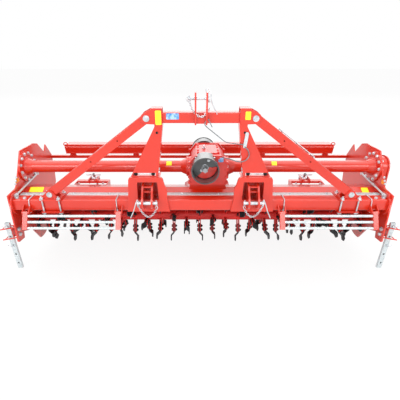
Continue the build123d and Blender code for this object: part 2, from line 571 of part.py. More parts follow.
# ---- shaft guards: open bells with a rolled mouth ------------------------------------
for name, face_y, length in (("pto_guard_front", GEARBOX_Y[0], -PTO_GUARD_FRONT),
                             ("pto_guard_rear", GEARBOX_Y[1], PTO_GUARD_REAR)):
    out = 1 if length > 0 else -1
    wall_r = PTO_GUARD_R - PTO_GUARD_WALL
    with BuildPart() as pto_guard:
        with BuildSketch(plane_x(PTO_X)) as bell:
            with BuildLine():
                Polyline((face_y, PTO_Z + PTO_CAP_R + PTO_GUARD_GAP), (face_y, PTO_Z + PTO_GUARD_R),
                         (face_y + length - out * PTO_LIP_L, PTO_Z + PTO_GUARD_R),
                         (face_y + length - out * PTO_LIP_L, PTO_Z + PTO_GUARD_R + PTO_LIP_T),
                         (face_y + length, PTO_Z + PTO_GUARD_R + PTO_LIP_T),
                         (face_y + length, PTO_Z + wall_r),
                         (face_y + out * PTO_GUARD_BACK, PTO_Z + wall_r),
                         (face_y + out * PTO_GUARD_BACK, PTO_Z + PTO_CAP_R + PTO_GUARD_GAP), close=True)
            make_face()
        revolve(bell.sketch, axis=Axis((PTO_X, 0, PTO_Z), (0, 1, 0)))
    save(pto_guard, name)

# ---- mast uprights: tapered channels with a rounded head -----------------------------
upright_foot = [HITCH_SPREAD / 2 + x for x in MAST_FOOT]
neck_z = MAST_TUBE_BOTTOM_Z - 26
crest_z = MAST_TUBE_TOP_Z + HEAD_RISE - HEAD_CORNER_R
for side, sign in SIDES:
    outer_top = MAST_HALF + MAST_NECK
    outline = [(MAST_HALF, MAST_TUBE_TOP_Z), (outer_top, MAST_TUBE_TOP_Z), (outer_top + 7, neck_z),
               (upright_foot[1], HITCH_TOP_Z), (upright_foot[0], HITCH_TOP_Z), (MAST_HALF, neck_z)]
    hollow = [(MAST_HALF + MAST_WALL, MAST_TUBE_TOP_Z - MAST_WALL),
              (outer_top - MAST_WALL, MAST_TUBE_TOP_Z - MAST_WALL), (outer_top - 1, neck_z - 2),
              (upright_foot[1] - MAST_WALL, HITCH_TOP_Z - 1), (upright_foot[0] + MAST_WALL,
              HITCH_TOP_Z - 1), (MAST_HALF + MAST_WALL, neck_z - 2)]
    with BuildPart() as upright:
        plate_y([(sign * x, z) for x, z in outline], *MAST_Y)
        plate_y([(sign * x, z) for x, z in hollow], MAST_Y[0] + MAST_WALL, MAST_Y[1], mode=Mode.SUBTRACT)
        for y0, y1 in ((MAST_Y[0] - MAST_WALL, MAST_Y[0]), (MAST_Y[1], MAST_Y[1] + MAST_WALL)):
            lug_y([(sign * HEAD_X, HEAD_Z, HEAD_LUG_R),
                   (sign * (MAST_HALF + HEAD_CREST_W - HEAD_CORNER_R), crest_z, HEAD_CORNER_R),
                   (sign * (MAST_HALF + HEAD_CORNER_R), crest_z, HEAD_CORNER_R),
                   (sign * (MAST_HALF + 24), HEAD_Z - 26, 20)], y0, y1)
            rod((sign * HEAD_X, y0, HEAD_Z), (sign * HEAD_X, y1, HEAD_Z), TIE_PIN_R + TIE_FIT,
                mode=Mode.SUBTRACT)
        block(pair(MAST_HALF, MAST_HALF + HEAD_CREST_W, sign),
              (MAST_Y[0] - MAST_WALL, MAST_Y[1] + MAST_WALL),
              (MAST_TUBE_TOP_Z + HEAD_RISE - HEAD_CAP_T, MAST_TUBE_TOP_Z + HEAD_RISE))
        rod((sign * (MAST_HALF + 45), MAST_Y[0], MAST_TUBE_BOTTOM_Z - MAST_HOLE_DOWN),
            (sign * (MAST_HALF + 45), MAST_Y[0] + MAST_WALL, MAST_TUBE_BOTTOM_Z - MAST_HOLE_DOWN),
            MAST_HOLE_R, mode=Mode.SUBTRACT)
        block(pair(upright_foot[0] + MAST_SLOT_EDGE, upright_foot[1] - MAST_SLOT_EDGE, sign),
              (MAST_Y[0] - 1, MAST_Y[0] + MAST_WALL),
              (HITCH_TOP_Z + MAST_SLOT_Z[0], HITCH_TOP_Z + MAST_SLOT_Z[1]), mode=Mode.SUBTRACT)
    save(upright, f"mast_upright_{side}")

# ---- cross tube and top link yoke ----------------------------------------------------
with BuildPart() as mast_tube:
    with BuildSketch(plane_x(-MAST_HALF)) as section:
        with Locations((MAST_Y[0] + MAST_TUBE / 2, MAST_TUBE_TOP_Z - MAST_TUBE / 2)):
            RectangleRounded(MAST_TUBE, MAST_TUBE, BEAM_CORNER)
            Rectangle(MAST_TUBE - 2 * MAST_WALL, MAST_TUBE - 2 * MAST_WALL, mode=Mode.SUBTRACT)
    extrude(section.sketch, amount=2 * MAST_HALF)
save(mast_tube, "mast_cross_tube")

with BuildPart() as yoke:
    for sign in (-1, 1):
        front = MAST_Y[0]
        ear = [(front, MAST_TUBE_BOTTOM_Z - 8), (front - 24, MAST_TUBE_BOTTOM_Z - 8),
               (front - 74, TOP_PIN_Z - 70), (TOP_PIN_Y - 38, TOP_PIN_Z), (TOP_PIN_Y - 26, TOP_PIN_Z + 40),
               (TOP_PIN_Y + 26, TOP_PIN_Z + 40), (TOP_PIN_Y + 44, TOP_PIN_Z - 10),
               (front + MAST_TUBE - 20, MAST_TUBE_TOP_Z), (front, MAST_TUBE_TOP_Z)]
        low, high = pair(YOKE_GAP / 2, YOKE_GAP / 2 + YOKE_T, sign)
        plate_x(ear, low, high)
        rod((low, TOP_PIN_Y, TOP_PIN_Z), (high, TOP_PIN_Y, TOP_PIN_Z), TOP_PIN_R + TIE_FIT,
            mode=Mode.SUBTRACT)
    block((-YOKE_GAP / 2, YOKE_GAP / 2), (MAST_Y[0] - 12, MAST_Y[0]),
          (MAST_TUBE_BOTTOM_Z, MAST_TUBE_TOP_Z - 6))
save(yoke, "top_link_yoke")

with BuildPart() as top_pin:
    ear_face = YOKE_GAP / 2 + YOKE_T
    rod((-ear_face - 50, TOP_PIN_Y, TOP_PIN_Z), (ear_face + 1, TOP_PIN_Y, TOP_PIN_Z), TOP_PIN_R)
    rod((ear_face + 1, TOP_PIN_Y, TOP_PIN_Z), (ear_face + 9, TOP_PIN_Y, TOP_PIN_Z), TOP_PIN_R + 9)
    chamfer(top_pin.faces().sort_by(Axis.X)[0].edges(), 3)
save(top_pin, "top_link_pin")

# ---- struts from the mast heads to the ends of the beam, and their clamps ------------
strut_y = (MAST_Y[0] + (MAST_DEPTH - STRUT_D) / 2, MAST_Y[0] + (MAST_DEPTH + STRUT_D) / 2)
run_x, run_z = FOOT_X - HEAD_X, FOOT_Z - HEAD_Z
strut_length = hypot(run_x, run_z)
clamp_y = (BEAM_FRONT_Y - CLAMP_OVERHANG, BEAM_REAR_Y + CLAMP_OVERHANG)
clamp_bolt_y = (BEAM_FRONT_Y - CLAMP_OVERHANG / 2, BEAM_REAR_Y + CLAMP_OVERHANG / 2)
for side, sign in SIDES:
    middle = (sign * (HEAD_X + FOOT_X) / 2, (HEAD_Z + FOOT_Z) / 2)
    tilt = degrees(atan2(run_z, sign * run_x))
    with BuildPart() as strut:
        lug_y([(sign * HEAD_X, HEAD_Z, STRUT_W / 2), (sign * FOOT_X, FOOT_Z, STRUT_W / 2)], *strut_y)
        with BuildSketch(plane_y(strut_y[1] - STRUT_WALL)) as bore:
            with Locations(Location((*middle, 0), (0, 0, tilt))):
                Rectangle(strut_length - 2 * STRUT_W, STRUT_W - 2 * STRUT_WALL)
        extrude(bore.sketch, amount=STRUT_D - 2 * STRUT_WALL, mode=Mode.SUBTRACT)
        for x, z in ((sign * HEAD_X, HEAD_Z), (sign * FOOT_X, FOOT_Z)):
            rod((x, strut_y[0], z), (x, strut_y[1], z), TIE_PIN_R + TIE_FIT, mode=Mode.SUBTRACT)
        for share in (0.28, 0.55):
            x, z = sign * (HEAD_X + share * run_x), HEAD_Z + share * run_z
            rod((x, strut_y[0], z), (x, strut_y[0] + STRUT_WALL, z), 6, mode=Mode.SUBTRACT)
    save(strut, f"mast_strut_{side}")

with BuildPart() as clamps:
    for side, sign in SIDES:
        for z in (BEAM_TOP_Z, BEAM_BOTTOM_Z - CLAMP_T):
            block(pair(FOOT_X - CLAMP_HALF, FOOT_X + CLAMP_HALF, sign), clamp_y, (z, z + CLAMP_T))
        for y in (strut_y[0] - CLAMP_EAR_T, strut_y[1]):
            lug_y([(sign * FOOT_X, FOOT_Z, CLAMP_EAR_R),
                   (sign * (FOOT_X - CLAMP_EAR_HALF), BEAM_TOP_Z + CLAMP_T + 6, 8),
                   (sign * (FOOT_X + CLAMP_EAR_HALF), BEAM_TOP_Z + CLAMP_T + 6, 8)], y, y + CLAMP_EAR_T)
            rod((sign * FOOT_X, y, FOOT_Z), (sign * FOOT_X, y + CLAMP_EAR_T, FOOT_Z),
                TIE_PIN_R + TIE_FIT, mode=Mode.SUBTRACT)
        for dx in (-CLAMP_BOLT_X, CLAMP_BOLT_X):
            for y in clamp_bolt_y:
                x = sign * FOOT_X + dx
                rod((x, y, BEAM_BOTTOM_Z - CLAMP_T), (x, y, BEAM_TOP_Z + CLAMP_T), CLAMP_BOLT_R,
                    mode=Mode.SUBTRACT)
save(clamps, "strut_clamps")

with BuildPart() as clamp_bolts:
    for side, sign in SIDES:
        for dx in (-CLAMP_BOLT_X, CLAMP_BOLT_X):
            for y in clamp_bolt_y:
                x = sign * FOOT_X + dx
                rod((x, y, BEAM_BOTTOM_Z - CLAMP_T - CLAMP_BOLT_END),
                    (x, y, BEAM_TOP_Z + CLAMP_T + CLAMP_BOLT_END), CLAMP_BOLT_R)
                for z in (BEAM_BOTTOM_Z - CLAMP_T - CLAMP_NUT_T, BEAM_TOP_Z + CLAMP_T):
                    with BuildSketch(Plane.XY.offset(z)) as nut:
                        with Locations((x, y)):
                            RegularPolygon(CLAMP_NUT_R, 6)
                    extrude(nut.sketch, amount=CLAMP_NUT_T)
save(clamp_bolts, "clamp_bolts")

with BuildPart() as tie_pins:
    for side, sign in SIDES:
        for x, z, y0, y1 in ((HEAD_X, HEAD_Z, MAST_Y[0] - MAST_WALL, MAST_Y[1] + MAST_WALL),
                             (FOOT_X, FOOT_Z, strut_y[0] - CLAMP_EAR_T, strut_y[1] + CLAMP_EAR_T)):
            rod((sign * x, y0 - TIE_HEAD_T - 4, z), (sign * x, y1 + TIE_END, z), TIE_PIN_R)
            rod((sign * x, y0 - TIE_HEAD_T, z), (sign * x, y0, z), TIE_PIN_R + TIE_HEAD_T)
save(tie_pins, "strut_pins")

# ---- lower hitch brackets: windowed boxes on the beam, with forward clevises ---------
plate_front = BEAM_FRONT_Y - HITCH_PLATE_T
for side, sign in SIDES:
    centre = sign * HITCH_SPREAD / 2
    # outline of the front plate: from the clevis middle towards the machine's end, height
    face = [(-178, BEAM_BOTTOM_Z), (184, BEAM_BOTTOM_Z), (168, BEAM_TOP_Z + 18), (150, HITCH_TOP_Z),
            (-124, HITCH_TOP_Z), (-143, HITCH_TOP_Z - 78), (-157, HITCH_TOP_Z - 98),
            (-158, BEAM_TOP_Z + 18)]
    window_z = (BEAM_TOP_Z + 10, HITCH_TOP_Z - HITCH_WINDOW_TOP)
    half = HITCH_WINDOW_W / 2
    with BuildPart() as bracket:
        with BuildSketch(plane_y(BEAM_FRONT_Y)) as outline:
            Polygon(*[(centre + sign * x, z) for x, z in face], align=None)
            fillet(outline.vertices().filter_by(lambda v: v.Z > HITCH_TOP_Z - 1), HITCH_CORNER_R)
        extrude(outline.sketch, amount=HITCH_PLATE_T)
        block((centre - half - HITCH_WALL, centre + half + HITCH_WALL), (BEAM_FRONT_Y, BEAM_REAR_Y - 12),
              (BEAM_TOP_Z, HITCH_TOP_Z - HITCH_WALL))
        block((centre - half, centre + half), (BEAM_FRONT_Y - 1, BEAM_REAR_Y - 12 - HITCH_WALL),
              (BEAM_TOP_Z, HITCH_TOP_Z - 2 * HITCH_WALL), mode=Mode.SUBTRACT)
        plate_y([(centre - half, window_z[0]), (centre + half, window_z[0]),
                 (centre + half - 6, window_z[1]), (centre - half + 6, window_z[1])],
                plate_front, BEAM_FRONT_Y, mode=Mode.SUBTRACT, corner=6)
        block((centre + sign * (MAST_FOOT[0] - 16), centre + sign * (MAST_FOOT[1] + 2)),
              (BEAM_FRONT_Y - 2, BEAM_REAR_Y), (HITCH_TOP_Z - HITCH_WALL, HITCH_TOP_Z))
        for cheek in (-1, 1):
            low = centre + cheek * (CLEVIS_GAP + CLEVIS_T) / 2 - CLEVIS_T / 2
            plate_x([(plate_front, HITCH_Z - 78), (HITCH_Y - 14, HITCH_Z - 46), (HITCH_Y - 34, HITCH_Z - 10),
                     (HITCH_Y - 26, HITCH_Z + 30), (plate_front - 10, window_z[1] - CLEVIS_TOP),
                     (BEAM_FRONT_Y, window_z[1] - CLEVIS_TOP + 6), (BEAM_FRONT_Y + 62, window_z[1] + 1),
                     (BEAM_FRONT_Y + 62, BEAM_TOP_Z), (BEAM_FRONT_Y, BEAM_TOP_Z),
                     (BEAM_FRONT_Y, HITCH_Z - 78)], low, low + CLEVIS_T)
            rod((low, HITCH_Y, HITCH_Z), (low + CLEVIS_T, HITCH_Y, HITCH_Z), HITCH_PIN_R + TIE_FIT,
                mode=Mode.SUBTRACT)
        for y, z in ((plate_front - 8, window_z[1] - CLEVIS_TOP), (plate_front - 12, HITCH_Z + 84)):
            block((centre - CLEVIS_GAP / 2, centre + CLEVIS_GAP / 2), (y, BEAM_FRONT_Y), (z - 12, z))
    save(bracket, f"hitch_bracket_{side}")

with BuildPart() as hitch_pins:
    for side, sign in SIDES:
        centre = sign * HITCH_SPREAD / 2
        rod((centre - HITCH_PIN_L / 2, HITCH_Y, HITCH_Z), (centre + HITCH_PIN_L / 2, HITCH_Y, HITCH_Z),
            HITCH_PIN_R)
        outer = centre + sign * HITCH_PIN_L / 2
        rod((outer - sign * 14, HITCH_Y, HITCH_Z), (outer, HITCH_Y, HITCH_Z), HITCH_PIN_R + 6)
save(hitch_pins, "hitch_pins")

# ---- front guards: channel posts joined by three tubes, hinged at the foot of the beam ----
post_x = ((GUARD_X[0], GUARD_X[0] + GUARD_POST_W), (GUARD_X[1] - GUARD_POST_W, GUARD_X[1]))
post_half = GUARD_POST_D / 2
post_outline = [(post_half, -GUARD_TOP), (-post_half, -GUARD_TOP), (-post_half, GUARD_POST_DROP),
                (post_half, GUARD_POST_DROP)]
post_channel = [(post_half - GUARD_POST_WALL, -GUARD_TOP - 1), (-post_half - 1, -GUARD_TOP - 1),
                (-post_half - 1, GUARD_POST_DROP + 1), (post_half - GUARD_POST_WALL, GUARD_POST_DROP + 1)]
for side, sign in SIDES:
    with BuildPart() as guard:
        for low, high in post_x:
            plate_x([on_guard(*point) for point in post_outline], *pair(low, high, sign))
            plate_x([on_guard(*point) for point in post_channel],
                    *pair(low + GUARD_POST_WALL, high - GUARD_POST_WALL, sign), mode=Mode.SUBTRACT)
            for x in (low, high - GUARD_BUSH_W):
                rod((sign * x, *on_guard(0, 0)), (sign * (x + GUARD_BUSH_W), *on_guard(0, 0)),
                    GUARD_PIN_R + GUARD_POST_WALL)
            rod((sign * low, *on_guard(0, 0)), (sign * high, *on_guard(0, 0)),
                GUARD_PIN_R + RUN_FIT, mode=Mode.SUBTRACT)
    save(guard, f"front_guard_{side}")
    with BuildPart() as bars:
        for drop in GUARD_DROPS:
            rod((sign * post_x[0][1], *on_guard(0, drop)), (sign * post_x[1][0], *on_guard(0, drop)),
                GUARD_TUBE_R)
    save(bars, f"guard_bars_{side}")

with BuildPart() as hangers:
    for side, sign in SIDES:
        for low, high in post_x:
            near, far = pair(low, high, sign)
            for cheek in (near - HANGER_GAP - HANGER_T, far + HANGER_GAP):
                lug_x([(GUARD_Y, GUARD_PIVOT_Z, HANGER_R), (BEAM_FRONT_Y - 4, BEAM_BOTTOM_Z + 16, 4),
                       (BEAM_FRONT_Y - 4, BEAM_BOTTOM_Z + 52, 4)], cheek, cheek + HANGER_T)
            rod((near - HANGER_GAP - HANGER_T, GUARD_Y, GUARD_PIVOT_Z),
                (far + HANGER_GAP + HANGER_T, GUARD_Y, GUARD_PIVOT_Z), GUARD_PIN_R)
save(hangers, "guard_hangers")

# ---- parking stands and their sockets ------------------------------------------------
leg_near = HALF + PLATE_T + LEG_GAP
leg_far = leg_near + LEG_W
leg_mid = (leg_near + leg_far) / 2
for side, sign in SIDES:
    with BuildPart() as leg:
        with BuildSketch(Plane.XY) as section:
            with Locations((sign * leg_mid, LEG_Y)):
                RectangleRounded(LEG_W, LEG_D, LEG_WALL)
        extrude(section.sketch, amount=LEG_LENGTH)
        block(pair(leg_near + LEG_WALL, leg_far - LEG_WALL, sign),
              (LEG_Y - LEG_D / 2 + LEG_WALL, LEG_Y + LEG_D / 2 - LEG_WALL),
              (LEG_WALL, LEG_LENGTH), mode=Mode.SUBTRACT)
        for z in LEG_HOLES_Z:
            rod((sign * leg_mid, LEG_Y - LEG_D, z), (sign * leg_mid, LEG_Y + LEG_D, z), LEG_HOLE_R,
                mode=Mode.SUBTRACT)
    save(leg, f"parking_leg_{side}")

wall, shelf_end = HALF + PLATE_T, leg_far + LEG_PLATE_EDGE
with BuildPart() as sockets:
    for side, sign in SIDES:
        block(pair(wall, wall + LEG_PLATE_T, sign), (LEG_Y + LEG_PAD_Y[0], LEG_Y + LEG_PAD_Y[1]),
              LEG_PLATES_Z)
        block(pair(leg_near - LEG_WEB_GAP - LEG_WEB_T, leg_near - LEG_WEB_GAP, sign),
              (LEG_Y + LEG_WEB_Y[0], LEG_Y + LEG_WEB_Y[1]),
              (LEG_PLATES_Z[0], LEG_PLATES_Z[1] + LEG_WEB_RISE))
        for z in LEG_PLATES_Z:
            with BuildSketch(Plane.XY.offset(z - LEG_PLATE_T / 2)) as shelf:
                Polygon((sign * wall, LEG_Y + LEG_SHELF_FRONT[1]),
                        (sign * shelf_end, LEG_Y + LEG_SHELF_FRONT[0]),
                        (sign * shelf_end, LEG_Y + LEG_SHELF_REAR[0]),
                        (sign * wall, LEG_Y + LEG_SHELF_REAR[1]), align=None)
                with Locations((sign * leg_mid, LEG_Y)):
                    Rectangle(LEG_W + 2 * LEG_FIT, LEG_D + 2 * LEG_FIT, mode=Mode.SUBTRACT)
            extrude(shelf.sketch, amount=LEG_PLATE_T)
save(sockets, "leg_sockets")

# ---- brace bars inside the side plates -----------------------------------------------
brace_foot = (BEAM_REAR_Y - 40, BEAM_TOP_Z + 18)
brace_head = (DRIVE_Y + 110, BEAM_TOP_Z + 54)
with BuildPart() as braces:
    for side, sign in SIDES:
        x = sign * (HALF - BEAM_FLANGE_T - 10)
        block((x - 9, x + 9), (brace_foot[0] - 20, brace_foot[0] + 20), (BEAM_TOP_Z, BEAM_TOP_Z + 30))
        rod((x, *brace_foot), (x, *brace_head), 8)
        rod((x - sign * 9, *brace_head), (sign * HALF, *brace_head), 12)
save(braces, "plate_braces")

# ---- rear cross beam: folded channel with a curled front edge, on posts from a square rail ----
with BuildPart() as rear_beam:
    front, rear = REAR_BEAM_Y
    bottom, top = REAR_BEAM_Z
    with BuildSketch(plane_x(-REAR_BEAM_HALF)) as section:
        with BuildLine():
            Polyline((rear, top - 26), (rear, top), (front + REAR_CURL_R, top),
                     (front + 2, top - REAR_CURL_R), (front + 10, bottom), (front + 74, bottom))
            offset(amount=REAR_BEAM_T, side=Side.LEFT, closed=True)
        make_face()
    extrude(section.sketch, amount=2 * REAR_BEAM_HALF)
    curl = (front + REAR_CURL_R, top - REAR_CURL_R)
    rod((-REAR_BEAM_HALF, *curl), (REAR_BEAM_HALF, *curl), REAR_CURL_R)
    rod((-REAR_BEAM_HALF, *curl), (REAR_BEAM_HALF, *curl), REAR_CURL_R - 4, mode=Mode.SUBTRACT)
save(rear_beam, "rear_cross_beam")

rail_half = REAR_RAIL_SIZE / 2
post_bay = 2 * (REAR_BEAM_HALF - RAIL_POST_INSET) / (RAIL_POSTS - 1)
with BuildPart() as rear_rail:
    block((-HALF, HALF), (REAR_RAIL_Y - rail_half, REAR_RAIL_Y + rail_half),
          (REAR_RAIL_Z - rail_half, REAR_RAIL_Z + rail_half))
    for k in range(RAIL_POSTS):
        x = (k - (RAIL_POSTS - 1) / 2) * post_bay
        plate_y([(x - RAIL_POST_FOOT, REAR_RAIL_Z + rail_half), (x + RAIL_POST_FOOT, REAR_RAIL_Z + rail_half),
                 (x + RAIL_POST_TOP, REAR_BEAM_Z[0]), (x - RAIL_POST_TOP, REAR_BEAM_Z[0])],
                REAR_RAIL_Y - 5, REAR_RAIL_Y + 5)
save(rear_rail, "rear_rail")

# ---- tailboard: folded sheet with ribs, a tubular lower edge and hinge knuckles ------
board_half = HALF - BOARD_SIDE_GAP
edge = (pivot[0] + BOARD_EDGE_OUT, BOARD_EDGE_R)
fall = pivot[1] - BOARD_EDGE_R
board_line = [(pivot[0] + 12, pivot[1] - 21), (pivot[0] + 78, pivot[1] - 0.317 * fall),
              (pivot[0] + 166, pivot[1] - 0.647 * fall), (edge[0], edge[1] + 14)]
eye = (pivot[0] + EYE_OUT, pivot[1] - EYE_DOWN)
with BuildPart() as tailboard:
    with BuildSketch(plane_x(-board_half)) as sheet:
        with BuildLine():
            Polyline(*board_line)
            offset(amount=BOARD_T, side=Side.RIGHT, closed=True)
        make_face()
    extrude(sheet.sketch, amount=2 * board_half)
    rod((-board_half, *edge), (board_half, *edge), BOARD_EDGE_R)
    for x in board_knuckles:
        plate_x([(pivot[0] - 4, pivot[1] - 12), (pivot[0] + 6, pivot[1] - 24),
                 (pivot[0] + 24, pivot[1] - 38), (pivot[0] + 30, pivot[1] - 30),
                 (pivot[0] + 13, pivot[1] - 4)], x - KNUCKLE_W / 2, x + KNUCKLE_W / 2)
        rod((x - KNUCKLE_W / 2, *pivot), (x + KNUCKLE_W / 2, *pivot), KNUCKLE_R)
        rib_x = min(max(x, -board_half), board_half - BOARD_RIB_T)
        plate_x([board_line[1], (board_line[2][0] + 26, board_line[2][1] + 12),
                 (edge[0] + 8, edge[1] + 34), board_line[3], board_line[2]], rib_x, rib_x + BOARD_RIB_T)
    rod((-HALF, *pivot), (HALF, *pivot), HINGE_ROD_R + RUN_FIT, mode=Mode.SUBTRACT)
    for sign in (-1, 1):
        for cheek in (-1, 1):
            x = sign * ADJUSTER_X + cheek * 20 - 5
            plate_x([(eye[0] - 58, eye[1] - 39), (eye[0] - 18, eye[1] + 18), (eye[0] + 20, eye[1] + 14),
                     (eye[0] + 22, eye[1] - 14), (eye[0] - 8, eye[1] - 109)], x, x + 10)
        rod((sign * ADJUSTER_X - 28, *eye), (sign * ADJUSTER_X + 28, *eye), 8)
save(tailboard, "tailboard")

with BuildPart() as hinge_rod:
    rod((-HALF, *pivot), (HALF, *pivot), HINGE_ROD_R)
save(hinge_rod, "tailboard_hinge_rod")

# ---- tailboard adjusters: bridge on the hood, trunnion, rod with a slotted eye -------
rod_run = Vector(0, eye[0] - TRUNNION_Y, eye[1] - TRUNNION_Z)
rod_dir = rod_run.normalized()
bridge_y = (TRUNNION_Y - 84, TRUNNION_Y - 34)
crown_a, crown_b = hood_line[4], hood_line[5]
crown_slope = (crown_b[1] - crown_a[1]) / (crown_b[0] - crown_a[0])
foot_y = (crown_a[0] + 10, crown_b[0] - 8)
foot_z = [crown_a[1] + crown_slope * (y - crown_a[0]) for y in foot_y]
with BuildPart() as bridge:
    for side, sign in SIDES:
        x = sign * ADJUSTER_X
        for end in (-1, 1):
            low = x + end * BRIDGE_HALF - 5
            plate_x([(foot_y[0], foot_z[0]), (foot_y[1], foot_z[1]), (bridge_y[1], TRUNNION_Z - 30),
                     (bridge_y[1], TRUNNION_Z), (bridge_y[0], TRUNNION_Z)], low, low + 10)
        block((x - BRIDGE_HALF - 5, x + BRIDGE_HALF + 5), bridge_y, (TRUNNION_Z - BRIDGE_T, TRUNNION_Z))
        block((x - BRIDGE_HALF - 5, x + BRIDGE_HALF + 5), (bridge_y[0], bridge_y[0] + BRIDGE_T),
              (TRUNNION_Z - BRIDGE_FLANGE, TRUNNION_Z))
        for cheek in (-1, 1):
            low = x + cheek * 40 - 5
            lug_x([(TRUNNION_Y, TRUNNION_Z, TRUNNION_PIN_R + 12), (bridge_y[0] + 14, TRUNNION_Z - 20, 12),
                   (bridge_y[0] + 14, TRUNNION_Z + 8, 12)], low, low + 10)
        rod((x - 46, TRUNNION_Y, TRUNNION_Z), (x + 46, TRUNNION_Y, TRUNNION_Z),
            TRUNNION_PIN_R + RUN_FIT, mode=Mode.SUBTRACT)
save(bridge, "adjuster_brackets")

for side, sign in SIDES:
    x = sign * ADJUSTER_X
    top = Vector(x, TRUNNION_Y, TRUNNION_Z)
    low_eye = Vector(x, *eye)
    with BuildPart() as trunnion:
        rod((x - 30, TRUNNION_Y, TRUNNION_Z), (x + 30, TRUNNION_Y, TRUNNION_Z), TRUNNION_R)
        rod((x - 46, TRUNNION_Y, TRUNNION_Z), (x + 46, TRUNNION_Y, TRUNNION_Z), TRUNNION_PIN_R)
        rod(top - rod_dir * 40, top + rod_dir * 40, ADJUSTER_ROD_R + RUN_FIT, mode=Mode.SUBTRACT)
    save(trunnion, f"adjuster_trunnion_{side}")
    with BuildPart() as adjuster:
        rod(top - rod_dir * ADJUSTER_TOP, low_eye - rod_dir * 50, ADJUSTER_ROD_R)
        handle = top - rod_dir * (ADJUSTER_TOP - ADJUSTER_BAR_R - 2)
        rod(handle - Vector(ADJUSTER_BAR_HALF, 0, 0), handle + Vector(ADJUSTER_BAR_HALF, 0, 0),
            ADJUSTER_BAR_R)
        with BuildSketch(Plane(origin=low_eye - Vector(7, 0, 0), x_dir=rod_dir,
                               z_dir=(1, 0, 0))) as link:
            SlotOverall(150, 58)
            SlotOverall(80, 32, mode=Mode.SUBTRACT)
        extrude(link.sketch, amount=14)
    save(adjuster, f"adjuster_rod_{side}")

# ---- rotor: tube with end discs, clamping plates and blades in a spiral --------------
side_stations = int((HALF - STATION_MARGIN) / STATION_PITCH)
station_x = [k * STATION_PITCH for k in range(-side_stations, side_stations + 1)]
tube_end = HALF - ROTOR_END_GAP
with BuildPart() as rotor_tube:
    rod((-tube_end, ROTOR_Y, ROTOR_Z), (tube_end, ROTOR_Y, ROTOR_Z), ROTOR_TUBE_R)
    for sign in (-1, 1):
        rod((sign * tube_end, ROTOR_Y, ROTOR_Z), (sign * (tube_end - ROTOR_DISC_T), ROTOR_Y, ROTOR_Z),
            ROTOR_DISC_R)
        rod((sign * tube_end, ROTOR_Y, ROTOR_Z), (sign * (HALF + PLATE_T), ROTOR_Y, ROTOR_Z), STUB_R)
save(rotor_tube, "rotor_tube")

half_w = HOLDER_W / 2
arm_outline = [(0, -half_w), (HOLDER_REACH - HOLDER_CHAMFER, -half_w),
               (HOLDER_REACH, -half_w + HOLDER_CHAMFER), (HOLDER_REACH, half_w - HOLDER_CHAMFER),
               (HOLDER_REACH - HOLDER_CHAMFER, half_w), (0, half_w)]
with BuildPart() as holder_cross:
    with BuildSketch(Plane.YZ) as cross:
        with PolarLocations(0, ARMS):
            Polygon(*arm_outline, align=None)
        Circle(ROTOR_TUBE_R, mode=Mode.SUBTRACT)
    extrude(cross.sketch, amount=HOLDER_T)

# the blade: a bar bent sideways past the clamp, its tip cut back to a leading corner
half_t = BLADE_T / 2
bend_low, bend_high = HOLDER_REACH + BLADE_BEND[0], HOLDER_REACH + BLADE_BEND[1]
bent_edge = [(-half_t, BLADE_ROOT), (half_t, BLADE_ROOT), (half_t, bend_low),
             (BLADE_JOG + half_t, bend_high), (BLADE_JOG + half_t, ROTOR_REACH), (BLADE_JOG - half_t, ROTOR_REACH),
             (BLADE_JOG - half_t, bend_high + 4), (-half_t, bend_low + 4)]
flat_shape = [(-BLADE_W / 2, BLADE_ROOT), (BLADE_W / 2, BLADE_ROOT), (BLADE_W / 2, bend_high),
              (BLADE_W / 2 + 9, ROTOR_REACH - 26), (16, ROTOR_REACH - 2), (-18, ROTOR_REACH - 12),
              (-BLADE_W / 2, bend_high)]
with BuildPart() as blade:
    with BuildSketch(Plane.XZ.offset(-BLADE_W)):
        Polygon(*bent_edge, align=None)
    extrude(amount=2 * BLADE_W)
    with BuildSketch(Plane.YZ.offset(-BLADE_W)):
        Polygon(*flat_shape, align=None)
    extrude(amount=2 * BLADE_W, mode=Mode.INTERSECT)
blade_right = blade.part
blade_left = mirror(blade.part, about=Plane.YZ)

holder_places, right_places, left_places = [], [], []
for k, x in enumerate(station_x):
    phase = SPIRAL_STEP * k
    for face_x in (-half_t - HOLDER_T, half_t):
        holder_places.append(Location((x + face_x, ROTOR_Y, ROTOR_Z), (phase, 0, 0)))
    for arm in range(ARMS):
        place = Location((x, ROTOR_Y, ROTOR_Z), (phase + 90 + 360 * arm / ARMS, 0, 0))
        turns_right = arm % 2 == 0
        if x == station_x[0]:
            turns_right = True
        if x == station_x[-1]:
            turns_right = False
        (right_places if turns_right else left_places).append(place)

with BuildPart() as holders:
    with Locations(*holder_places):
        add(holder_cross.part)
save(holders, "blade_holders")
with BuildPart() as right_blades:
    with Locations(*right_places):
        add(blade_right)
save(right_blades, "blades_right_hand")
with BuildPart() as left_blades:
    with Locations(*left_places):
        add(blade_left)
save(left_blades, "blades_left_hand")
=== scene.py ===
import json
import logging
import math
from dataclasses import dataclass, field
from enum import Enum
from typing import Callable, ClassVar, Iterable, Sequence

import bmesh
import bpy
from mathutils import Matrix, Vector


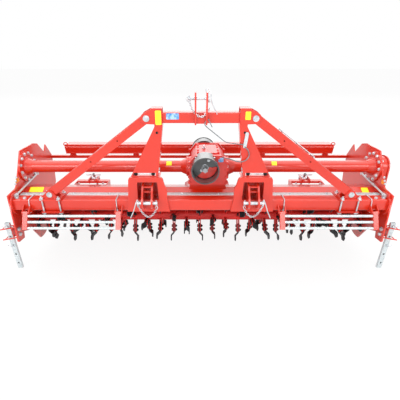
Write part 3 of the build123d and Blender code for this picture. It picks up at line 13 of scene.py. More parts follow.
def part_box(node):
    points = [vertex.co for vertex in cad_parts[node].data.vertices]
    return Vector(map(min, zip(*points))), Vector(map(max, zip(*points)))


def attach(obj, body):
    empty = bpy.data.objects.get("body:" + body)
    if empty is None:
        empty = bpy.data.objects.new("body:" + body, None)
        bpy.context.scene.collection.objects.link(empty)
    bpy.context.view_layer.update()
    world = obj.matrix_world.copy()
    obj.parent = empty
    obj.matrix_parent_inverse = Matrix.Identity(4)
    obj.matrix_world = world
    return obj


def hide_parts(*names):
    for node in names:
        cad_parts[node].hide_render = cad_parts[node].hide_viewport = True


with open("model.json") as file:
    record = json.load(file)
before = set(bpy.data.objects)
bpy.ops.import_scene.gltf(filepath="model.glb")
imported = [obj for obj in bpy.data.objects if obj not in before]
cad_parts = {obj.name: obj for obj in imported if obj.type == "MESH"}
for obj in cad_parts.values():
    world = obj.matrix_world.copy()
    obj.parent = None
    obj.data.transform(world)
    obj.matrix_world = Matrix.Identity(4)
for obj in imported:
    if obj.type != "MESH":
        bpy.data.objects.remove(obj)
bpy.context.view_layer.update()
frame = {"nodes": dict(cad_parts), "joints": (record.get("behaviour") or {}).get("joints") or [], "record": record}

# Looks of a tractor-mounted rotavator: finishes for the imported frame, and the fasteners,
# chains, stays, welds and blank plates that ride on it. Lengths are metres, in the frame's
# own axes: X across the machine, +Y to its rear, +Z up.

LOG = logging.getLogger("rotavator")
SIDES = (("left", -1), ("right", 1))
SHARP = math.radians(38)       # faces that meet at more than this keep a sharp edge
X_AXIS, Y_AXIS, Z_AXIS = Vector((1, 0, 0)), Vector((0, 1, 0)), Vector((0, 0, 1))


class Coating(Enum):
    """Surface finishes of the machine. A value is the record's material slot."""

    RED_ENAMEL = "red_enamel"
    RED_CASTING = "red_casting"
    ROTOR_RED = "rotor_red"
    BLADE_STEEL = "blade_steel"
    GUARD_PLASTIC = "guard_plastic"
    SHAFT_STEEL = "shaft_steel"
    GALVANISED = "galvanised"
    ZINC_PIN = "zinc_pin"


# ---- material nodes --------------------------------------------------------------------------


def to_linear(code: str) -> tuple[float, float, float, float]:
    """Turn an sRGB hex colour into the linear colour that shaders take.

    Args:
        code: six hex digits after a hash, such as "#d9201a".

    Returns:
        Linear red, green, blue and an alpha of one.
    """
    parts = [int(code[k:k + 2], 16) / 255 for k in (1, 3, 5)]
    line = [p / 12.92 if p <= 0.04045 else ((p + 0.055) / 1.055) ** 2.4 for p in parts]
    return (line[0], line[1], line[2], 1.0)


def add_node(tree: bpy.types.NodeTree, kind: str, settings: dict | None = None,
             links: dict | None = None) -> bpy.types.Node:
    """Add one node with its settings and incoming links.

    Args:
        tree: node tree that gets the node.
        kind: Blender's name of the node type.
        settings: values by input socket, or by the node's own property.
        links: output sockets by the input socket that they feed.

    Returns:
        The new node.
    """
    node = tree.nodes.new(kind)
    for name, value in (settings or {}).items():
        if isinstance(name, str) and name.islower():
            setattr(node, name, value)
        else:
            node.inputs[name].default_value = value
    for name, socket in (links or {}).items():
        tree.links.new(socket, node.inputs[name])
    return node


def blank_material(name: str) -> tuple[bpy.types.Material, bpy.types.NodeTree, bpy.types.Node,
                                       bpy.types.NodeSocket]:
    """Start a material.

    Args:
        name: name of the material.

    Returns:
        The material, its tree, its Principled shader and Object coordinates.
    """
    material = bpy.data.materials.new(name)
    material.use_nodes = True
    tree = material.node_tree
    shader = tree.nodes["Principled BSDF"]
    place = add_node(tree, "ShaderNodeTexCoord").outputs["Object"]
    return material, tree, shader, place


def blend_colours(tree: bpy.types.NodeTree, share: bpy.types.NodeSocket, low: str, high: str,
                  start: float = 0.35, end: float = 0.65) -> bpy.types.NodeSocket:
    """Run a value through a two-colour ramp.

    Args:
        tree: node tree of the material.
        share: value from 0 to 1.
        low: hex colour at and below start.
        high: hex colour at and above end.
        start: value where the ramp begins.
        end: value where it ends.

    Returns:
        The ramp's colour.
    """
    ramp = add_node(tree, "ShaderNodeValToRGB", links={"Fac": share})
    first, last = ramp.color_ramp.elements
    first.position, last.position = start, end
    first.color, last.color = to_linear(low), to_linear(high)
    return ramp.outputs["Color"]


@dataclass(frozen=True)
class PowderCoat:
    """Powder-coated steel: a glossy film with a faint orange peel and slight shade changes."""

    name: str
    colour: str
    shade: str
    roughness: float = 0.34
    coat: float = 0.8
    peel_mm: float = 14.0      # real peel is 2 mm; drawn coarser, as 2 mm is too fine to show
    peel_depth_mm: float = 0.10
    patch_mm: float = 420.0
    ior: float = 1.45
    coat_roughness: float = 0.16
    coat_ior: float = 1.5

    def material(self) -> bpy.types.Material:
        """Make the film's material.

        Returns:
            The material.
        """
        material, tree, shader, place = blank_material(self.name)
        patch = add_node(tree, "ShaderNodeTexNoise", {"Scale": 1000 / self.patch_mm, "Detail": 3.0},
                         {"Vector": place})
        colour = blend_colours(tree, patch.outputs["Fac"], self.shade, self.colour)
        tree.links.new(colour, shader.inputs["Base Color"])
        peel = add_node(tree, "ShaderNodeTexNoise", {"Scale": 1000 / self.peel_mm, "Detail": 2.0},
                        {"Vector": place})
        bump = add_node(tree, "ShaderNodeBump",
                        {"Strength": 0.25, "Distance": self.peel_depth_mm / 1000},
                        {"Height": peel.outputs["Fac"]})
        tree.links.new(bump.outputs["Normal"], shader.inputs["Normal"])
        shader.inputs["Roughness"].default_value = self.roughness
        shader.inputs["IOR"].default_value = self.ior
        shader.inputs["Coat Weight"].default_value = self.coat
        shader.inputs["Coat Roughness"].default_value = self.coat_roughness
        shader.inputs["Coat IOR"].default_value = self.coat_ior
        return material


@dataclass(frozen=True)
class PaintedCasting:
    """Sand-cast iron under paint: grains of the mould show through the film."""

    name: str
    colour: str
    shade: str
    grain_mm: float = 7.0      # sand grain drawn coarse, so that it shows
    grain_depth_mm: float = 0.5
    patch_mm: float = 1000 / 9
    roughness: float = 0.38
    coat: float = 0.6
    coat_roughness: float = 0.22
    coat_ior: float = 1.5

    def material(self) -> bpy.types.Material:
        """Make the casting's material.

        Returns:
            The material.
        """
        material, tree, shader, place = blank_material(self.name)
        patch = add_node(tree, "ShaderNodeTexNoise", {"Scale": 1000 / self.patch_mm, "Detail": 4.0},
                         {"Vector": place})
        colour = blend_colours(tree, patch.outputs["Fac"], self.shade, self.colour)
        tree.links.new(colour, shader.inputs["Base Color"])
        grain = add_node(tree, "ShaderNodeTexNoise",
                         {"Scale": 1000 / self.grain_mm, "Detail": 5.0, "Roughness": 0.6},
                         {"Vector": place})
        bump = add_node(tree, "ShaderNodeBump",
                        {"Strength": 0.5, "Distance": self.grain_depth_mm / 1000},
                        {"Height": grain.outputs["Fac"]})
        tree.links.new(bump.outputs["Normal"], shader.inputs["Normal"])
        shader.inputs["Roughness"].default_value = self.roughness
        shader.inputs["Coat Weight"].default_value = self.coat
        shader.inputs["Coat Roughness"].default_value = self.coat_roughness
        shader.inputs["Coat IOR"].default_value = self.coat_ior
        return material


@dataclass(frozen=True)
class BlackOxideSteel:
    """Hot-forged boron steel with its dark scale, polished a little along the raised grain."""

    name: str
    scale: str = "#16161a"
    rubbed: str = "#35353a"
    scale_mm: float = 18.0
    scale_depth_mm: float = 0.6
    scale_roughness: float = 0.55
    rubbed_roughness: float = 0.36
    metallic: float = 0.55

    def material(self) -> bpy.types.Material:
        """Make the forged steel's material.

        Returns:
            The material.
        """
        material, tree, shader, place = blank_material(self.name)
        flakes = add_node(tree, "ShaderNodeTexNoise",
                          {"Scale": 1000 / self.scale_mm, "Detail": 6.0, "Roughness": 0.65},
                          {"Vector": place})
        colour = blend_colours(tree, flakes.outputs["Fac"], self.scale, self.rubbed, 0.45, 0.7)
        tree.links.new(colour, shader.inputs["Base Color"])
        rough = add_node(tree, "ShaderNodeMapRange",
                         {"To Min": self.scale_roughness, "To Max": self.rubbed_roughness},
                         {"Value": flakes.outputs["Fac"]})
        tree.links.new(rough.outputs["Result"], shader.inputs["Roughness"])
        bump = add_node(tree, "ShaderNodeBump",
                        {"Strength": 0.4, "Distance": self.scale_depth_mm / 1000},
                        {"Height": flakes.outputs["Fac"]})
        tree.links.new(bump.outputs["Normal"], shader.inputs["Normal"])
        shader.inputs["Metallic"].default_value = self.metallic
        return material


@dataclass(frozen=True)
class MouldedPolymer:
    """Moulded plastic: even colour, a soft sheen and a fine eroded texture of the mould."""

    name: str
    colour: str
    worn: str
    roughness: float = 0.32
    grain_mm: float = 6.0      # eroded texture drawn coarse, so that it shows
    grain_depth_mm: float = 0.2
    cloud_mm: float = 1000 / 14
    ior: float = 1.5
    coat: float = 1.0
    coat_roughness: float = 0.2

    def material(self) -> bpy.types.Material:
        """Make the plastic's material.

        Returns:
            The material.
        """
        material, tree, shader, place = blank_material(self.name)
        cloud = add_node(tree, "ShaderNodeTexNoise", {"Scale": 1000 / self.cloud_mm, "Detail": 3.0},
                         {"Vector": place})
        colour = blend_colours(tree, cloud.outputs["Fac"], self.colour, self.worn)
        tree.links.new(colour, shader.inputs["Base Color"])
        grain = add_node(tree, "ShaderNodeTexNoise", {"Scale": 1000 / self.grain_mm, "Detail": 3.0},
                         {"Vector": place})
        bump = add_node(tree, "ShaderNodeBump",
                        {"Strength": 0.2, "Distance": self.grain_depth_mm / 1000},
                        {"Height": grain.outputs["Fac"]})
        tree.links.new(bump.outputs["Normal"], shader.inputs["Normal"])
        shader.inputs["Roughness"].default_value = self.roughness
        shader.inputs["IOR"].default_value = self.ior
        shader.inputs["Coat Weight"].default_value = self.coat
        shader.inputs["Coat Roughness"].default_value = self.coat_roughness
        return material


@dataclass(frozen=True)
class ZincPlate:
    """Bright zinc plating: a cool silver that clouds over in small patches."""

    name: str
    bright: str = "#dfe3e6"
    clouded: str = "#b9bfc4"
    cloud_mm: float = 30.0
    roughness: float = 0.28
    clouded_more: float = 0.12     # how much rougher a clouded patch is
    metallic: float = 0.75

    def material(self) -> bpy.types.Material:
        """Make the plating's material.

        Returns:
            The material.
        """
        material, tree, shader, place = blank_material(self.name)
        cloud = add_node(tree, "ShaderNodeTexNoise", {"Scale": 1000 / self.cloud_mm, "Detail": 4.0},
                         {"Vector": place})
        colour = blend_colours(tree, cloud.outputs["Fac"], self.clouded, self.bright)
        tree.links.new(colour, shader.inputs["Base Color"])
        rough = add_node(tree, "ShaderNodeMapRange",
                         {"To Min": self.roughness + self.clouded_more, "To Max": self.roughness},
                         {"Value": cloud.outputs["Fac"]})
        tree.links.new(rough.outputs["Result"], shader.inputs["Roughness"])
        shader.inputs["Metallic"].default_value = self.metallic
        return material


@dataclass(frozen=True)
class HotDipZinc:
    """Hot-dip galvanising: crystals of zinc, each a slightly different grey."""

    name: str
    light: str = "#d2d9db"
    dark: str = "#bec7ca"
    crystal_mm: float = 12.0
    least_roughness: float = 0.40
    most_roughness: float = 0.50
    metallic: float = 0.4      # weathered zinc is partly covered by its dull salts

    def material(self) -> bpy.types.Material:
        """Make the galvanised material.

        Returns:
            The material.
        """
        material, tree, shader, place = blank_material(self.name)
        crystals = add_node(tree, "ShaderNodeTexVoronoi", {"Scale": 1000 / self.crystal_mm},
                            {"Vector": place})
        grey = add_node(tree, "ShaderNodeSeparateColor", links={"Color": crystals.outputs["Color"]})
        colour = blend_colours(tree, grey.outputs["Red"], self.dark, self.light, 0.0, 1.0)
        tree.links.new(colour, shader.inputs["Base Color"])
        rough = add_node(tree, "ShaderNodeMapRange",
                         {"To Min": self.least_roughness, "To Max": self.most_roughness},
                         {"Value": grey.outputs["Green"]})
        tree.links.new(rough.outputs["Result"], shader.inputs["Roughness"])
        shader.inputs["Metallic"].default_value = self.metallic
        return material


@dataclass(frozen=True)
class TurnedSteel:
    """Machined steel with the fine rings that a lathe leaves round Y."""

    name: str
    colour: str = "#a9abae"
    groove_mm: float = 6 * math.pi     # a real feed mark is 0.2 mm; drawn coarse, to show
    groove_depth_mm: float = 0.2
    wave_length_mm: float = 1000 * math.tau / 20     # length of a wave texture's band at scale 1
    roughness: float = 0.3

    def material(self) -> bpy.types.Material:
        """Make the machined steel's material.

        Returns:
            The material.
        """
        material, tree, shader, place = blank_material(self.name)
        shader.inputs["Base Color"].default_value = to_linear(self.colour)
        rings = add_node(tree, "ShaderNodeTexWave",
                         {"wave_type": "BANDS", "bands_direction": "Y",
                          "Scale": self.wave_length_mm / self.groove_mm, "Distortion": 0.6},
                         {"Vector": place})
        bump = add_node(tree, "ShaderNodeBump",
                        {"Strength": 0.3, "Distance": self.groove_depth_mm / 1000},
                        {"Height": rings.outputs["Fac"]})
        tree.links.new(bump.outputs["Normal"], shader.inputs["Normal"])
        shader.inputs["Metallic"].default_value = 1.0
        shader.inputs["Roughness"].default_value = self.roughness
        return material


@dataclass(frozen=True)
class VinylFilm:
    """Blank sticker: a flat plastic film, slightly satin, one colour with a mottled print."""

    name: str
    colour: str
    faded: str
    mottle_mm: float = 1000 / 45
    roughness: float = 0.42

    def material(self) -> bpy.types.Material:
        """Make the film's material.

        Returns:
            The material.
        """
        material, tree, shader, place = blank_material(self.name)
        mottle = add_node(tree, "ShaderNodeTexNoise",
                          {"Scale": 1000 / self.mottle_mm, "Detail": 2.0}, {"Vector": place})
        colour = blend_colours(tree, mottle.outputs["Fac"], self.faded, self.colour)
        tree.links.new(colour, shader.inputs["Base Color"])
        shader.inputs["Roughness"].default_value = self.roughness
        return material


@dataclass
class Palette:
    """Every material of the machine, made once."""

    coats: dict[Coating, bpy.types.Material] = field(default_factory=dict)
    bead: bpy.types.Material | None = None
    dark_bolt: bpy.types.Material | None = None
    glass: bpy.types.Material | None = None
    dull_wire: bpy.types.Material | None = None
    films: dict[str, bpy.types.Material] = field(default_factory=dict)

    def mix(self) -> None:
        """Make the materials."""
        self.coats = {
            Coating.RED_ENAMEL: PowderCoat("red_powder_coat", "#ce280d", "#c5240b").material(),
            Coating.RED_CASTING: PaintedCasting("painted_cast_iron", "#d62414",
                                                "#c71e10").material(),
            Coating.ROTOR_RED: PowderCoat("rotor_paint", "#c61c16", "#ae1510", roughness=0.55,
                                          coat=0.0).material(),
            Coating.BLADE_STEEL: BlackOxideSteel("forged_boron_steel").material(),
            Coating.GUARD_PLASTIC: MouldedPolymer("black_polypropylene", "#2b2d2e",
                                                  "#393b3d").material(),
            Coating.SHAFT_STEEL: TurnedSteel("turned_steel").material(),
            Coating.GALVANISED: HotDipZinc("hot_dip_zinc").material(),
            Coating.ZINC_PIN: ZincPlate("bright_zinc_plate").material(),
        }
        self.bead = PaintedCasting("painted_weld", "#dd241c", "#c91c16", grain_mm=4.0,
                                   grain_depth_mm=0.8).material()
        self.dark_bolt = BlackOxideSteel("black_bolt_steel", "#121214", "#2a2a2e",
                                         scale_mm=9.0).material()
        self.dull_wire = ZincPlate("weathered_zinc_wire", "#8b9094", "#6f7478", cloud_mm=20.0,
                                   roughness=0.45).material()
        self.glass = MouldedPolymer("sight_glass_resin", "#e8c46a", "#caa04a",
                                    roughness=0.12).material()
        self.films = {
            "yellow": VinylFilm("yellow_vinyl", "#f7ee2c", "#f2df22").material(),
            "orange": VinylFilm("orange_vinyl", "#f39a2a", "#e98a20").material(),
            "blue": VinylFilm("blue_white_vinyl", "#2f7fc4", "#a9cbe6").material(),
        }


# ---- mesh workshop -----------------------------------------------------------------------------


def axes_at(point: Vector, axis: Vector, up: Vector = Z_AXIS) -> Matrix:
    """Place whose local Z runs along an axis and whose local Y is nearest to up.

    Args:
        point: where the place is.
        axis: direction of its Z.
        up: direction its Y is near to.

    Returns:
        The place as a matrix.
    """
    z = axis.normalized()
    y = up - z * up.dot(z)
    if y.length < 1e-6:
        y = Y_AXIS - z * Y_AXIS.dot(z)
    if y.length < 1e-6:
        y = X_AXIS.copy()
    y.normalize()
    x = y.cross(z)
    turn = Matrix((x, y, z)).transposed().to_4x4()
    return Matrix.Translation(point) @ turn


def softened_path(points: Sequence[Vector], bend: float, steps: int = 5) -> list[Vector]:
    """Round the corners of a path.

    Args:
        points: corners of the path.
        bend: how far from a corner its bend starts.
        steps: pieces in each bend.

    Returns:
        Points of the rounded path.
    """
    corners = [Vector(p) for p in points]
    path = [corners[0]]
    for before, corner, after in zip(corners, corners[1:], corners[2:]):
        reach = min(bend, (before - corner).length * 0.49, (after - corner).length * 0.49)
        start = corner + (before - corner).normalized() * reach
        end = corner + (after - corner).normalized() * reach
        for k in range(steps + 1):
            t = k / steps
            path.append(start * (1 - t) ** 2 + corner * 2 * t * (1 - t) + end * t ** 2)
    path.append(corners[-1])
    return path


class Bench:
    """A mesh in the making: each method adds one shape, in the frame's axes."""

    RIPPLE = 0.22              # how much thinner a weld bead is between two ripples
    RIPPLE_PITCH = 0.006       # half a ripple of a straight bead
    ROUND_PITCH = 0.016        # a ripple of a bead round a pipe

    def __init__(self) -> None:
        """Start with an empty mesh."""
        self.bm = bmesh.new()

    def soften(self, verts: Iterable[bmesh.types.BMVert], width: float,
               limit: float = math.radians(50)) -> None:
        """Break the sharp edges between some vertices.

        Args:
            verts: vertices of the shape.
            width: width of the bevel.
            limit: least angle between faces that counts as sharp.
        """
        edges = {e for v in verts for e in v.link_edges
                 if len(e.link_faces) == 2 and e.calc_face_angle(0.0) > limit}
        bmesh.ops.bevel(self.bm, geom=list(edges), offset=width, offset_type="OFFSET", segments=1,
                        profile=0.5, affect="EDGES", material=-1)

    def bar(self, start: Vector, end: Vector, radius: float, sides: int = 16,
            tip: float | None = None, edge: float = 0.0) -> None:
        """Add a round bar, or a cone if tip is given, between two points.

        Args:
            start: middle of one end.
            end: middle of the other end.
            radius: radius at the start, and at the end if there is no tip.
            sides: facets round the bar.
            tip: radius at the end of a cone.
            edge: bevel of its sharp edges.
        """
        start, end = Vector(start), Vector(end)
        run = end - start
        made = bmesh.ops.create_cone(self.bm, cap_ends=True, segments=sides, radius1=radius,
                                     radius2=radius if tip is None else tip, depth=run.length,
                                     matrix=axes_at((start + end) / 2, run))
        if edge:
            self.soften(made["verts"], edge)

    def block(self, low: Vector, high: Vector, edge: float = 0.0) -> None:
        """Add a rectangular bar between two corners.

        Args:
            low: one corner.
            high: the opposite corner.
            edge: bevel of its sharp edges.
        """
        low, high = Vector(low), Vector(high)
        size = Vector([abs(a - b) for a, b in zip(high, low)])
        made = bmesh.ops.create_cube(self.bm, size=1.0,
                                     matrix=Matrix.Translation((low + high) / 2)
                                     @ Matrix.Diagonal(size).to_4x4())
        if edge:
            self.soften(made["verts"], edge)

    def slab(self, outline: Sequence[tuple[float, float]], place: Matrix, depth: float,
             edge: float = 0.0) -> None:
        """Add a plate.

        Args:
            outline: corners in the plate's own plane.
            place: where the plate's plane is; the plate grows along its Z.
            depth: thickness.
            edge: bevel of its sharp edges.
        """
        corners = [self.bm.verts.new(place @ Vector((x, y, 0))) for x, y in outline]
        face = self.bm.faces.new(corners)
        grown = bmesh.ops.extrude_face_region(self.bm, geom=[face])["geom"]
        moved = [g for g in grown if isinstance(g, bmesh.types.BMVert)]
        bmesh.ops.translate(self.bm, verts=moved, vec=place.to_3x3() @ Vector((0, 0, depth)))
        if edge:
            self.soften(corners + moved, edge)

    def ring(self, centre: Vector, axis: Vector, radius: float, wire: float,
             sides: int = 20) -> None:
        """Add a round ring of wire about an axis.

        Args:
            centre: centre of the ring.
            axis: direction of its axis.
            radius: radius of the ring, to the wire's middle.
            wire: radius of the wire.
            sides: pieces round the ring.
        """
        place = axes_at(Vector(centre), Vector(axis))
        hoop = Matrix.Translation((radius, 0, 0)) @ Matrix.Rotation(math.pi / 2, 4, "X")
        made = bmesh.ops.create_circle(self.bm, cap_ends=False, segments=8, radius=wire,
                                       matrix=place @ hoop)
        edges = list({e for v in made["verts"] for e in v.link_edges})
        bmesh.ops.spin(self.bm, geom=made["verts"] + edges, cent=place.translation,
                       axis=place.to_3x3() @ Z_AXIS, angle=math.tau, steps=sides,
                       use_merge=True, use_duplicate=False)

    def tube(self, start: Vector, end: Vector, outer: float, inner: float,
             sides: int = 48) -> None:
        """Add an open round sleeve between two points.

        Args:
            start: middle of one end.
            end: middle of the other end.
            outer: outside radius.
            inner: inside radius.
            sides: facets round the sleeve.
        """
        start, end = Vector(start), Vector(end)
        place = axes_at(start, end - start)
        depth = (end - start).length
        verts = [self.bm.verts.new(place @ Vector((r, 0, h)))
                 for r, h in ((inner, 0), (outer, 0), (outer, depth), (inner, depth))]
        edges = [self.bm.edges.new((verts[k], verts[(k + 1) % 4])) for k in range(4)]
        bmesh.ops.spin(self.bm, geom=verts + edges, cent=start, axis=place.to_3x3() @ Z_AXIS,
                       angle=math.tau, steps=sides, use_merge=True, use_duplicate=False)

    def wire(self, points: Sequence[Vector], radius: float, bend: float = 0.0, sides: int = 8,
             ripple: float = 0.0, closed: bool = False) -> None:
        """Add a round wire along a path.

        Args:
            points: corners of the path.
            radius: radius of the wire.
            bend: how far from each corner its bend starts.
            sides: facets round the wire.
            ripple: share by which every second point is thinner, as in a weld bead.
            closed: whether the wire is a loop.
        """
        path = softened_path(points, bend) if bend else [Vector(p) for p in points]
        curve = bpy.data.curves.new("wire", "CURVE")
        curve.dimensions = "3D"
        curve.bevel_depth = radius
        curve.bevel_resolution = max(0, sides // 4 - 1)
        curve.use_fill_caps = not closed
        line = curve.splines.new("POLY")
        line.points.add(len(path) - 1)
        for k, (knot, p) in enumerate(zip(line.points, path)):
            knot.co = (*p, 1)
            knot.radius = 1 - ripple * (k % 2)
        line.use_cyclic_u = closed
        holder = bpy.data.objects.new("wire", curve)
        mesh = bpy.data.meshes.new_from_object(holder)
        self.bm.from_mesh(mesh)
        bpy.data.objects.remove(holder)
        bpy.data.curves.remove(curve)
        bpy.data.meshes.remove(mesh)

    def bead(self, start: Vector, end: Vector, radius: float = 0.004) -> None:
        """Add a straight weld bead with its ripples.

        Args:
            start: one end.
            end: the other end.
            radius: half the bead's width.
        """
        start, end = Vector(start), Vector(end)
        steps = max(2, int((end - start).length / self.RIPPLE_PITCH))
        points = [start.lerp(end, k / steps) for k in range(steps + 1)]
        self.wire(points, radius, ripple=self.RIPPLE)

    def round_bead(self, centre: Vector, axis: Vector, radius: float, size: float = 0.004) -> None:
        """Add a weld bead round a pipe.

        Args:
            centre: centre of the bead's circle.
            axis: direction of the pipe.
            radius: radius of the circle.
            size: half the bead's width.
        """
        place = axes_at(Vector(centre), Vector(axis))
        steps = 2 * max(12, int(math.tau * radius / self.ROUND_PITCH))
        angles = [math.tau * k / steps for k in range(steps)]
        points = [place @ Vector((radius * math.cos(a), radius * math.sin(a), 0)) for a in angles]
        self.wire(points, size, ripple=self.RIPPLE, closed=True)

    def stamp(self, shape: bpy.types.Mesh, place: Matrix) -> None:
        """Add a copy of a ready shape at a place.

        Args:
            shape: the shape, at the origin.
            place: where the copy goes.
        """
        shape.transform(place)
        self.bm.from_mesh(shape)
        shape.transform(place.inverted())

    def to_mesh(self, name: str) -> bpy.types.Mesh:
        """Close the bench and return its mesh, welded, with outward faces and smooth rounds.

        Args:
            name: name of the mesh.

        Returns:
            The mesh.
        """
        bmesh.ops.remove_doubles(self.bm, verts=self.bm.verts, dist=1e-6)
        bmesh.ops.recalc_face_normals(self.bm, faces=self.bm.faces)
        mesh = bpy.data.meshes.new(name)
        self.bm.to_mesh(mesh)
        self.bm.free()
        mesh.shade_smooth()
        mesh.set_sharp_from_angle(angle=SHARP)
        return mesh


@dataclass(frozen=True)
class Fastener:
    """Hexagon bolt, screw or nut as it stands on a face: washer, head and thread end."""

    thread: float
    washer: bool = True
    stud: float = 0.0          # thread standing out of a nut
    facets: int = 14

    def shape(self) -> bpy.types.Mesh:
        """Make the fastener standing on the plane Z = 0.

        Returns:
            The fastener's mesh.
        """
        bench = Bench()
        seat = 0.0
        if self.washer:
            seat = 0.18 * self.thread
            bench.bar((0, 0, 0), (0, 0, seat), 1.12 * self.thread, self.facets)
        head = 0.68 * self.thread
        corner = 0.92 * self.thread
        made = bmesh.ops.create_cone(bench.bm, cap_ends=True, segments=6, radius1=corner,
                                     radius2=corner, depth=head,
                                     matrix=Matrix.Translation((0, 0, seat + head / 2)))
        top = [e for v in made["verts"] for e in v.link_edges
               if all(x.co.z > seat + head / 2 for x in e.verts)]
        bmesh.ops.bevel(bench.bm, geom=list(set(top)), offset=0.12 * self.thread,
                        offset_type="OFFSET", segments=1, profile=0.5, affect="EDGES", material=-1)
        if self.stud:
            bench.bar((0, 0, seat + head), (0, 0, seat + head + self.stud), self.thread / 2,
                      10, edge=0.1 * self.thread)
        return bench.to_mesh(f"fastener_{round(self.thread * 1000)}")


@dataclass(frozen=True)
class Layout:
    """Where the main pieces of the frame lie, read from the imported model."""

    HITCH_HALF: ClassVar[float] = 0.435        # half the distance between the lower brackets
    STRUT_HEAD_X: ClassVar[float] = 0.408      # a strut's upper pin, from the middle
    STRUT_Y: ClassVar[float] = -0.39
    STRUT_PIN_R: ClassVar[float] = 0.0236      # washer of a strut's pin
    FLANGE_IN: ClassVar[float] = 0.030         # gearbox flange's face, from the casting's end

    plate: float               # inner face of a side plate, from the middle
    plate_t: float
    drive: Vector              # middle of the drive tubes' axis
    rotor: Vector              # middle of the rotor's axis
    shaft: Vector              # middle of the power take-off shaft
    gearbox_x: float           # middle of the gearbox casting
    gearbox_faces: tuple[float, float]         # Y of its front and rear flange's face
    board: Vector              # middle of the tailboard's hinge
    hitch_x: float
    hitch: Vector              # lower pins' axis, in the middle of the machine
    strut_head: Vector         # right strut's upper pin
    strut_foot: Vector         # right strut's lower pin
    top_pin: Vector
    guard_x: tuple[float, float]       # ends of the right front guard

    @classmethod
    def read(cls) -> "Layout":
        """Read the layout from the frame's boxes and joints.

        Returns:
            The layout.
        """
        places = {j["name"]: Vector(j["pos_m"]) for j in frame["joints"] if j.get("pos_m")}
        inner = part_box("side_plate_right")[0].x
        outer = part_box("side_plate_right")[1].x
        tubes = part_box("drive_tubes")
        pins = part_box("hitch_pins")
        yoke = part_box("top_link_pin")
        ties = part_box("strut_pins")
        guard_low, guard_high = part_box("front_guard_right")
        gear_low, gear_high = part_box("gearbox")
        pin_r = (yoke[1].z - yoke[0].z) / 2
        return cls(
            plate=inner,
            plate_t=outer - inner,
            drive=Vector((0, (tubes[0].y + tubes[1].y) / 2, (tubes[0].z + tubes[1].z) / 2)),
            rotor=places["rotor_spin"],
            shaft=places["pto_spin"],
            gearbox_x=(gear_low.x + gear_high.x) / 2,
            gearbox_faces=(gear_low.y + cls.FLANGE_IN, gear_high.y - cls.FLANGE_IN),
            board=places["tailboard_tilt"],
            hitch_x=(pins[0].x + pins[1].x) / 2 + cls.HITCH_HALF,
            hitch=Vector((0, (pins[0].y + pins[1].y) / 2, (pins[0].z + pins[1].z) / 2)),
            strut_head=Vector((cls.STRUT_HEAD_X, cls.STRUT_Y, ties[1].z - cls.STRUT_PIN_R)),
            strut_foot=Vector((ties[1].x - cls.STRUT_PIN_R, cls.STRUT_Y,
                               ties[0].z + cls.STRUT_PIN_R)),
            top_pin=Vector((0, (yoke[0].y + yoke[1].y) / 2, yoke[0].z + pin_r)),
            guard_x=(guard_low.x, guard_high.x),
        )


@dataclass
class SubAssembly:
    """Pieces that belong together on the machine."""

    layout: Layout
    palette: Palette
    made: list[bpy.types.Object] = field(default_factory=list)

    def add(self, bench: Bench, name: str, body: str, coating: Coating,
            material: bpy.types.Material | None = None) -> bpy.types.Object:
        """Turn a bench into a piece that rides on a body.

        Args:
            bench: the piece's shapes.
            name: name of the piece.
            body: body of the frame that carries it.
            coating: its finish, whose material the piece gets when no other is given.
            material: material other than the coating's own.

        Returns:
            The piece.
        """
        mesh = bench.to_mesh(name)
        mesh.materials.append(material or self.palette.coats[coating])
        piece = bpy.data.objects.new(name, mesh)
        bpy.context.scene.collection.objects.link(piece)
        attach(piece, body)
        self.made.append(piece)
        LOG.info("%s on %s: %d faces", name, body, len(mesh.polygons))
        return piece

    def round_pattern(self, bench: Bench, fastener: Fastener, centre: Vector, axis: Vector,
                      radius: float, count: int, phase: float = 0.0) -> None:
        """Stamp fasteners on a bolt circle.

        Args:
            bench: bench that gets them.
            fastener: which fastener.
            centre: centre of the circle on the face.
            axis: direction that the heads point in.
            radius: radius of the bolt circle.
            count: how many.
            phase: turn of the first one, in radians.
        """
        shape = fastener.shape()
        place = axes_at(Vector(centre), Vector(axis))
        for k in range(count):
            angle = phase + math.tau * k / count
            spot = Matrix.Translation((radius * math.cos(angle), radius * math.sin(angle), 0))
            bench.stamp(shape, place @ spot @ Matrix.Rotation(0.7 * k, 4, "Z"))
        bpy.data.meshes.remove(shape)

    def set_of(self, bench: Bench, fastener: Fastener, points: Iterable[Sequence[float]],
               axis: Vector) -> None:
        """Stamp one fastener at each point, heads along an axis.

        Args:
            bench: bench that gets them.
            fastener: which fastener.
            points: where they stand.
            axis: direction that the heads point in.
        """
        shape = fastener.shape()
        for k, point in enumerate(points):
            place = axes_at(Vector(point), Vector(axis))
            bench.stamp(shape, place @ Matrix.Rotation(0.6 * k, 4, "Z"))
        bpy.data.meshes.remove(shape)


def chain_link(pitch: float, wire: float) -> bpy.types.Mesh:
    """Make one oval chain link, long axis along Z.

    Args:
        pitch: from one link to the next.
        wire: radius of the link's wire.

    Returns:
        The link's mesh.
    """
    half_width, stretch = pitch * 0.42, 1.45
    bench = Bench()
    bench.ring((0, 0, 0), Y_AXIS, half_width, wire, sides=12)
    for vert in bench.bm.verts:
        vert.co.z *= stretch
    return bench.to_mesh("chain_link")


